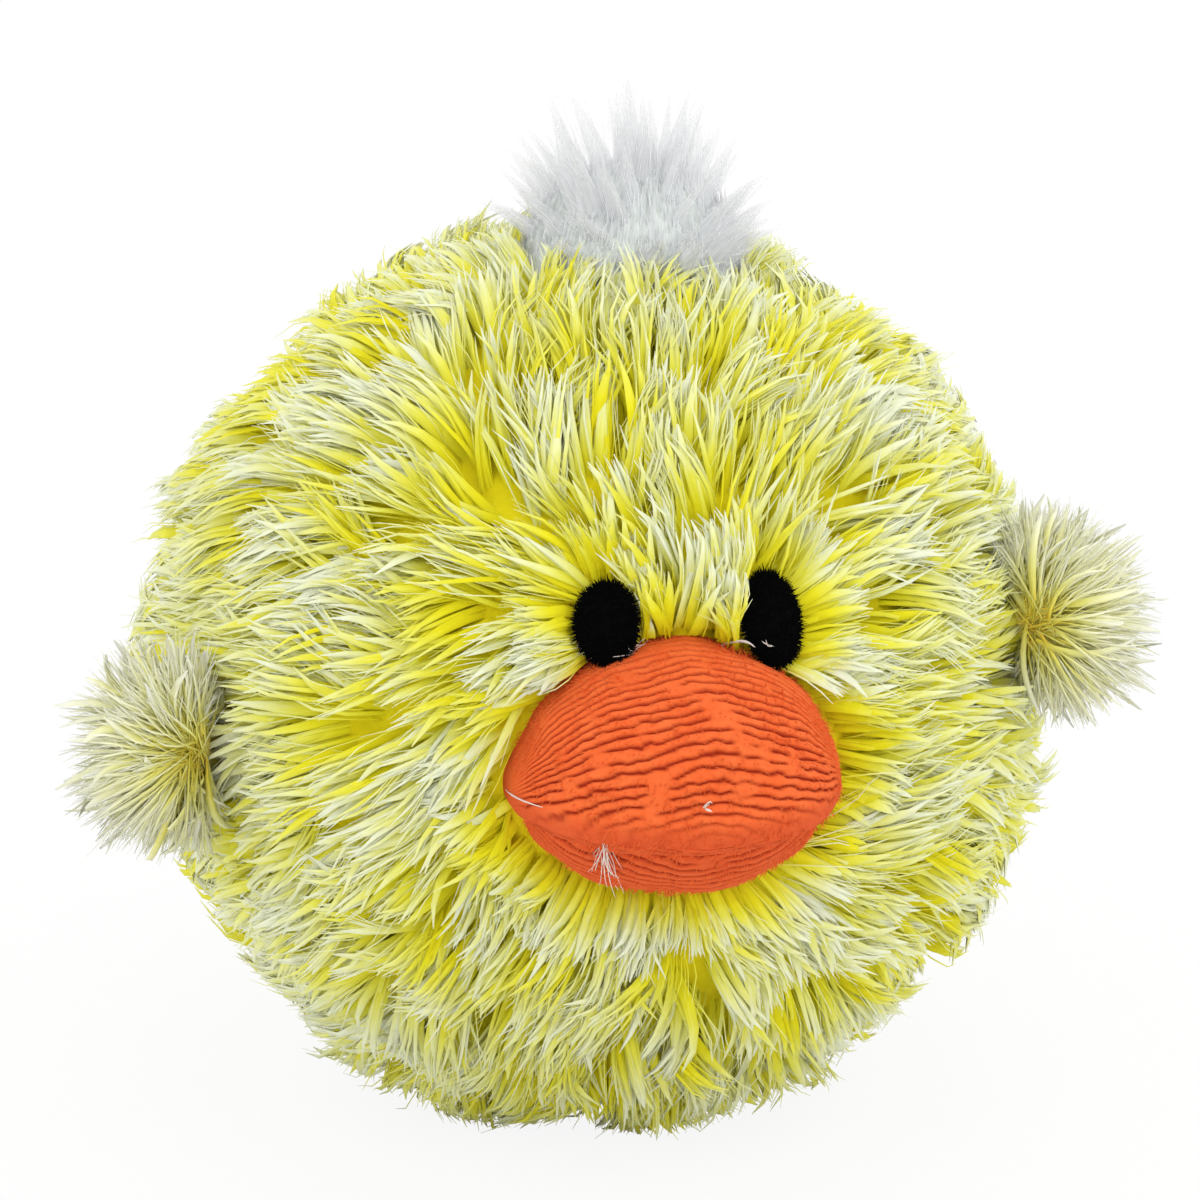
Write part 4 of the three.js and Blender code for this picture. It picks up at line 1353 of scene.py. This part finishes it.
filling = {
    "wads": {"stuffing_lower": (3, 0.6), "stuffing_upper": (3, 0.6), "bill_fill": (2, 0.7)},  # cuts, fill
    "longest": 2.4 * mm,  # edges longer than this are cut
    "lumps": 0.35 * mm,
    "lumpSize": 7 * mm,
    "tufts": 0.12 * mm,
    "tuftSize": 2 * mm,
    "seed": 71,
}


def makeWads(setup):
    wadding = clothMaterial("wadding", rgb(222, 222, 216), rgb(246, 246, 242), 420)
    for name, (cuts, fill) in setup["wads"].items():
        shape = bmesh.new()
        shape.from_mesh(frame["nodes"][name].data)
        bmesh.ops.remove_doubles(shape, verts=shape.verts, dist=0.005 * mm)
        for _ in range(cuts):
            long = [edge for edge in shape.edges if edge.calc_length() > setup["longest"]]
            bmesh.ops.subdivide_edges(shape, edges=long, cuts=1)
            bmesh.ops.triangulate(shape, faces=[face for face in shape.faces if len(face.verts) > 3])
        shape.normal_update()
        places = np.array([vertex.co for vertex in shape.verts], float)
        depth = setup["lumps"] * (1 + waves(places, setup["lumpSize"], setup["seed"]))
        depth += setup["tufts"] * (1 + waves(places, setup["tuftSize"], setup["seed"] + 1))
        for vertex, inwards in zip(shape.verts, np.maximum(depth, 0)):
            vertex.co -= vertex.normal * inwards
        piece = fromBmesh("wad_" + name, shape, wadding)
        assign(piece, "ball", "fibrefill", name, fill=fill)
    print("fibrefill ready")


makeWads(filling)


# Squeaker and wing tabs: their solids stay and get their finishes

def mouldedMaterial(name, dark, light, roughness, bumps, grain=900):
    shade = Shade(name)
    cloud, speck = shade.noise(grain / 6, 3), shade.noise(grain, 4, 0.7)
    colour, dull = shade.mix(cloud, dark, light), speck * 0.2 + (roughness - 0.1)
    return shade.surface(colour, dull, Normal=shade.bump(speck, bumps, 0.1 * mm))


def reedMaterial():
    shade = Shade("rolledReed")
    drawnOut = shade.node("Mapping", Vector=shade.place(), Scale=(1, 14, 1))
    rolled = shade.node("TexNoise", Vector=drawnOut, Scale=700)
    colour = shade.mix(rolled, rgb(188, 142, 62), rgb(222, 184, 104))
    return shade.surface(colour, rolled * 0.3 + 0.2, Metallic=1.0)


def tapeMaterial():
    # folded woven cloth, warp and weft as two sets of fine bands
    shade = Shade("wovenTape")
    warp, weft = (
        shade.node("TexWave", {"bands_direction": way}, output=1, Scale=420, Distortion=0.6)
        for way in ("Z", "DIAGONAL")
    )
    weave = warp * weft
    colour = shade.mix(weave * 0.6 + shade.noise(500, 3) * 0.4, rgb(196, 180, 62), rgb(234, 224, 120))
    return shade.surface(colour, 0.9, 0.2, Normal=shade.bump(weave, 0.5, 0.15 * mm))


def refinish(material, *names):
    for name in names:
        node = frame["nodes"][name]
        for slot in node.material_slots:
            slot.material = material


paleMoulding = mouldedMaterial("paleMoulding", rgb(222, 219, 206), rgb(236, 234, 224), 0.45, 0.15)
redMoulding = mouldedMaterial("redMoulding", rgb(168, 30, 22), rgb(188, 44, 32), 0.4, 0.12)
blownPlastic = mouldedMaterial("blownPlastic", rgb(206, 214, 220), rgb(226, 232, 236), 0.35, 0.25, 500)
refinish(paleMoulding, "squeaker_base", "squeaker_top")
refinish(redMoulding, "reed_plug", "reed_clip")
refinish(blownPlastic, "squeaker_bellows")
refinish(reedMaterial(), "reed")
refinish(tapeMaterial(), "wing_left_tab", "wing_right_tab")
print("squeaker and tabs finished")


# Strays: loose fibres and threads, placed by the photograph's pixels on what they lie on

strays = {
    "mouthFluff": {  # whitish fibres caught in the fold of the mouth
        "root": (604, 845), "tips": [(598, 870), (606, 884), (619, 874), (622, 893), (588, 862)],
        "each": 4, "width": 0.05 * mm, "scatter": 0.6 * mm, "rise": 1.1 * mm, "on": "bill",
    },
    "cornerHair": {
        "root": (506, 790), "tips": [(545, 808)], "each": 2, "width": 0.05 * mm, "scatter": 0.2 * mm,
        "rise": 1.4 * mm, "on": "bill",
    },
    "billLint": {
        "root": (705, 808), "tips": [(712, 804), (711, 809)], "each": 2, "width": 0.07 * mm,
        "scatter": 0.25 * mm, "rise": 1.2 * mm, "on": "bill",
    },
    "eyeRagsLeft": {  # pale threads of the cut edge under the eye
        "root": (586, 658), "tips": [(580, 648), (584, 655), (590, 664), (597, 660), (582, 666)], "each": 3,
        "width": 0.05 * mm, "scatter": 0.25 * mm, "rise": 0.5 * mm, "on": "eye",
    },
    "eyeRagsMiddle": {
        "root": (632, 654), "tips": [(616, 659), (626, 652), (640, 646), (648, 641)], "each": 3,
        "width": 0.05 * mm, "scatter": 0.25 * mm, "rise": 0.5 * mm, "on": "eye",
    },
    "eyeRagsRight": {
        "root": (768, 646), "tips": [(763, 641), (771, 645)], "each": 3,
        "width": 0.05 * mm, "scatter": 0.2 * mm, "rise": 0.5 * mm, "on": "eye",
    },
    "billSelvedge": {  # the cream edge of the bill's cloth, by the eye
        "root": (722, 645), "tips": [(752, 648)], "each": 3, "width": 0.09 * mm, "scatter": 0.12 * mm,
        "rise": 1.2 * mm, "on": "bill",
    },
}


strayThreads = {"points": 7, "profile": [1, 1, 0.9, 0.5], "seed": 81}


def pieceTree(*names):
    return meshTree([bpy.data.objects[name].data for name in names])


def groundAt(tree, x, y):
    # what a pixel of the photograph shows of a piece, or the piece's nearest place where it shows another
    place, normal = tree.ray_cast(camera.location, Vector(photoRay(x, y)))[:2]
    if place is None:
        place, normal = tree.find_nearest(Vector(ballCentre + fromPhoto(x, y) * pileRadius))[:2]
    return np.array(place), np.array(normal)


def makeStrays(setup):
    grounds = {
        "bill": pieceTree("upper_bill_panel", "lower_bill_panel"),
        "eye": pieceTree("eye_left_pad", "eye_right_pad", "upper_bill_panel"),
    }
    stops = [(0.0, rgb(232, 214, 202)), (1.0, rgb(244, 240, 230))]
    threadWhite = pileMaterial("threadWhite", stops, 0.6, 0.2, 0.1)
    dice = np.random.default_rng(strayThreads["seed"])
    eyePoint = np.array(camera.location)
    for name, kind in setup.items():
        tree = grounds[kind["on"]]
        root = groundAt(tree, *kind["root"])
        paths = []
        for x, y in kind["tips"]:
            tip = eyePoint + photoRay(x, y) * np.linalg.norm(groundAt(tree, x, y)[0] - eyePoint)
            for _ in range(kind["each"]):
                start = root[0] + dice.normal(size=3) * kind["scatter"] * 0.4
                end = tip + dice.normal(size=3) * kind["scatter"] + root[1] * 0.3 * mm
                middle = (start + end) / 2 + root[1] * kind["rise"] + dice.normal(size=3) * kind["scatter"]
                share = np.linspace(0, 1, strayThreads["points"])[:, None]
                paths.append(start * (1 - share) ** 2 + middle * 2 * share * (1 - share) + end * share ** 2)
        paths = np.array(paths)
        widths = kind["width"] * dice.uniform(0.7, 1.2, len(paths))
        radii = spread(widths, strayThreads["points"], strayThreads["profile"])
        piece = makeStrands("stray_" + name, paths, radii, dice.uniform(0.2, 0.9, len(paths)), threadWhite)
        assign(piece, "ball", "white_pile")
    print("strays ready")


makeStrays(strays)


# Floor, lamps and world

studio = {
    "lamps": {  # azimuth, elevation and power
        "keyLamp": (35, 50, 2.2),
        "fillLamp": (-60, 25, 1.3),
        "backLamp": (170, 35, 1.4),
    },
    "lampDistance": 0.9,
    "lampSize": 1.3,
    "sky": 0.98,
    "floorSize": 3,
    "seeThrough": 32,  # layers that light is followed through, because the tuft's bunches lie many deep
}


def makeFloor(size):
    shape = bmesh.new()
    bmesh.ops.create_grid(shape, x_segments=1, y_segments=1, size=size)
    shade = Shade("floorPaper")
    path = shade.node("LightPath", output=0)
    paper = shade.node("BsdfDiffuse", Color=(0.9, 0.9, 0.9, 1))
    glow = shade.node("Emission", Color=(1, 1, 1, 1), Strength=1.0)
    mixed = shade.node("MixShader", i0=path * 0.9, i1=paper, i2=glow)
    fromBmesh("floor", shape, shade.finish(mixed))


def makeLamp(name, azimuth, elevation, power, setup):
    lamp = bpy.data.lights.new(name, "AREA")
    lamp.shape, lamp.size, lamp.energy = "DISK", setup["lampSize"], power
    holder = bpy.data.objects.new(name, lamp)
    scene.collection.objects.link(holder)
    out = Vector(onBall(azimuth, elevation))
    holder.location = Vector(ballCentre) + out * setup["lampDistance"]
    holder.rotation_mode = "QUATERNION"
    holder.rotation_quaternion = out.to_track_quat("Z", "Y")


def makeWorld(strength):
    world = bpy.data.worlds.new("studio")
    scene.world = world
    world.use_nodes = True
    nodes, links = world.node_tree.nodes, world.node_tree.links
    nodes.clear()
    path = nodes.new("ShaderNodeLightPath")
    seen = nodes.new("ShaderNodeMath")
    seen.operation = "MAXIMUM"
    links.new(path.outputs["Is Camera Ray"], seen.inputs[0])
    links.new(path.outputs["Is Glossy Ray"], seen.inputs[1])
    soft, white = nodes.new("ShaderNodeBackground"), nodes.new("ShaderNodeBackground")
    soft.inputs["Strength"].default_value = strength
    soft.inputs["Color"].default_value = (1, 1, 1, 1)
    white.inputs["Color"].default_value = (1, 1, 1, 1)
    mix, end = nodes.new("ShaderNodeMixShader"), nodes.new("ShaderNodeOutputWorld")
    links.new(seen.outputs[0], mix.inputs[0])
    links.new(soft.outputs[0], mix.inputs[1])
    links.new(white.outputs[0], mix.inputs[2])
    links.new(mix.outputs[0], end.inputs["Surface"])


makeFloor(studio["floorSize"])
for name, (azimuth, elevation, power) in studio["lamps"].items():
    makeLamp(name, azimuth, elevation, power, studio)
makeWorld(studio["sky"])
print("studio ready")
scene.view_settings.view_transform = "Standard"
scene.cycles.transparent_max_bounces = studio["seeThrough"]
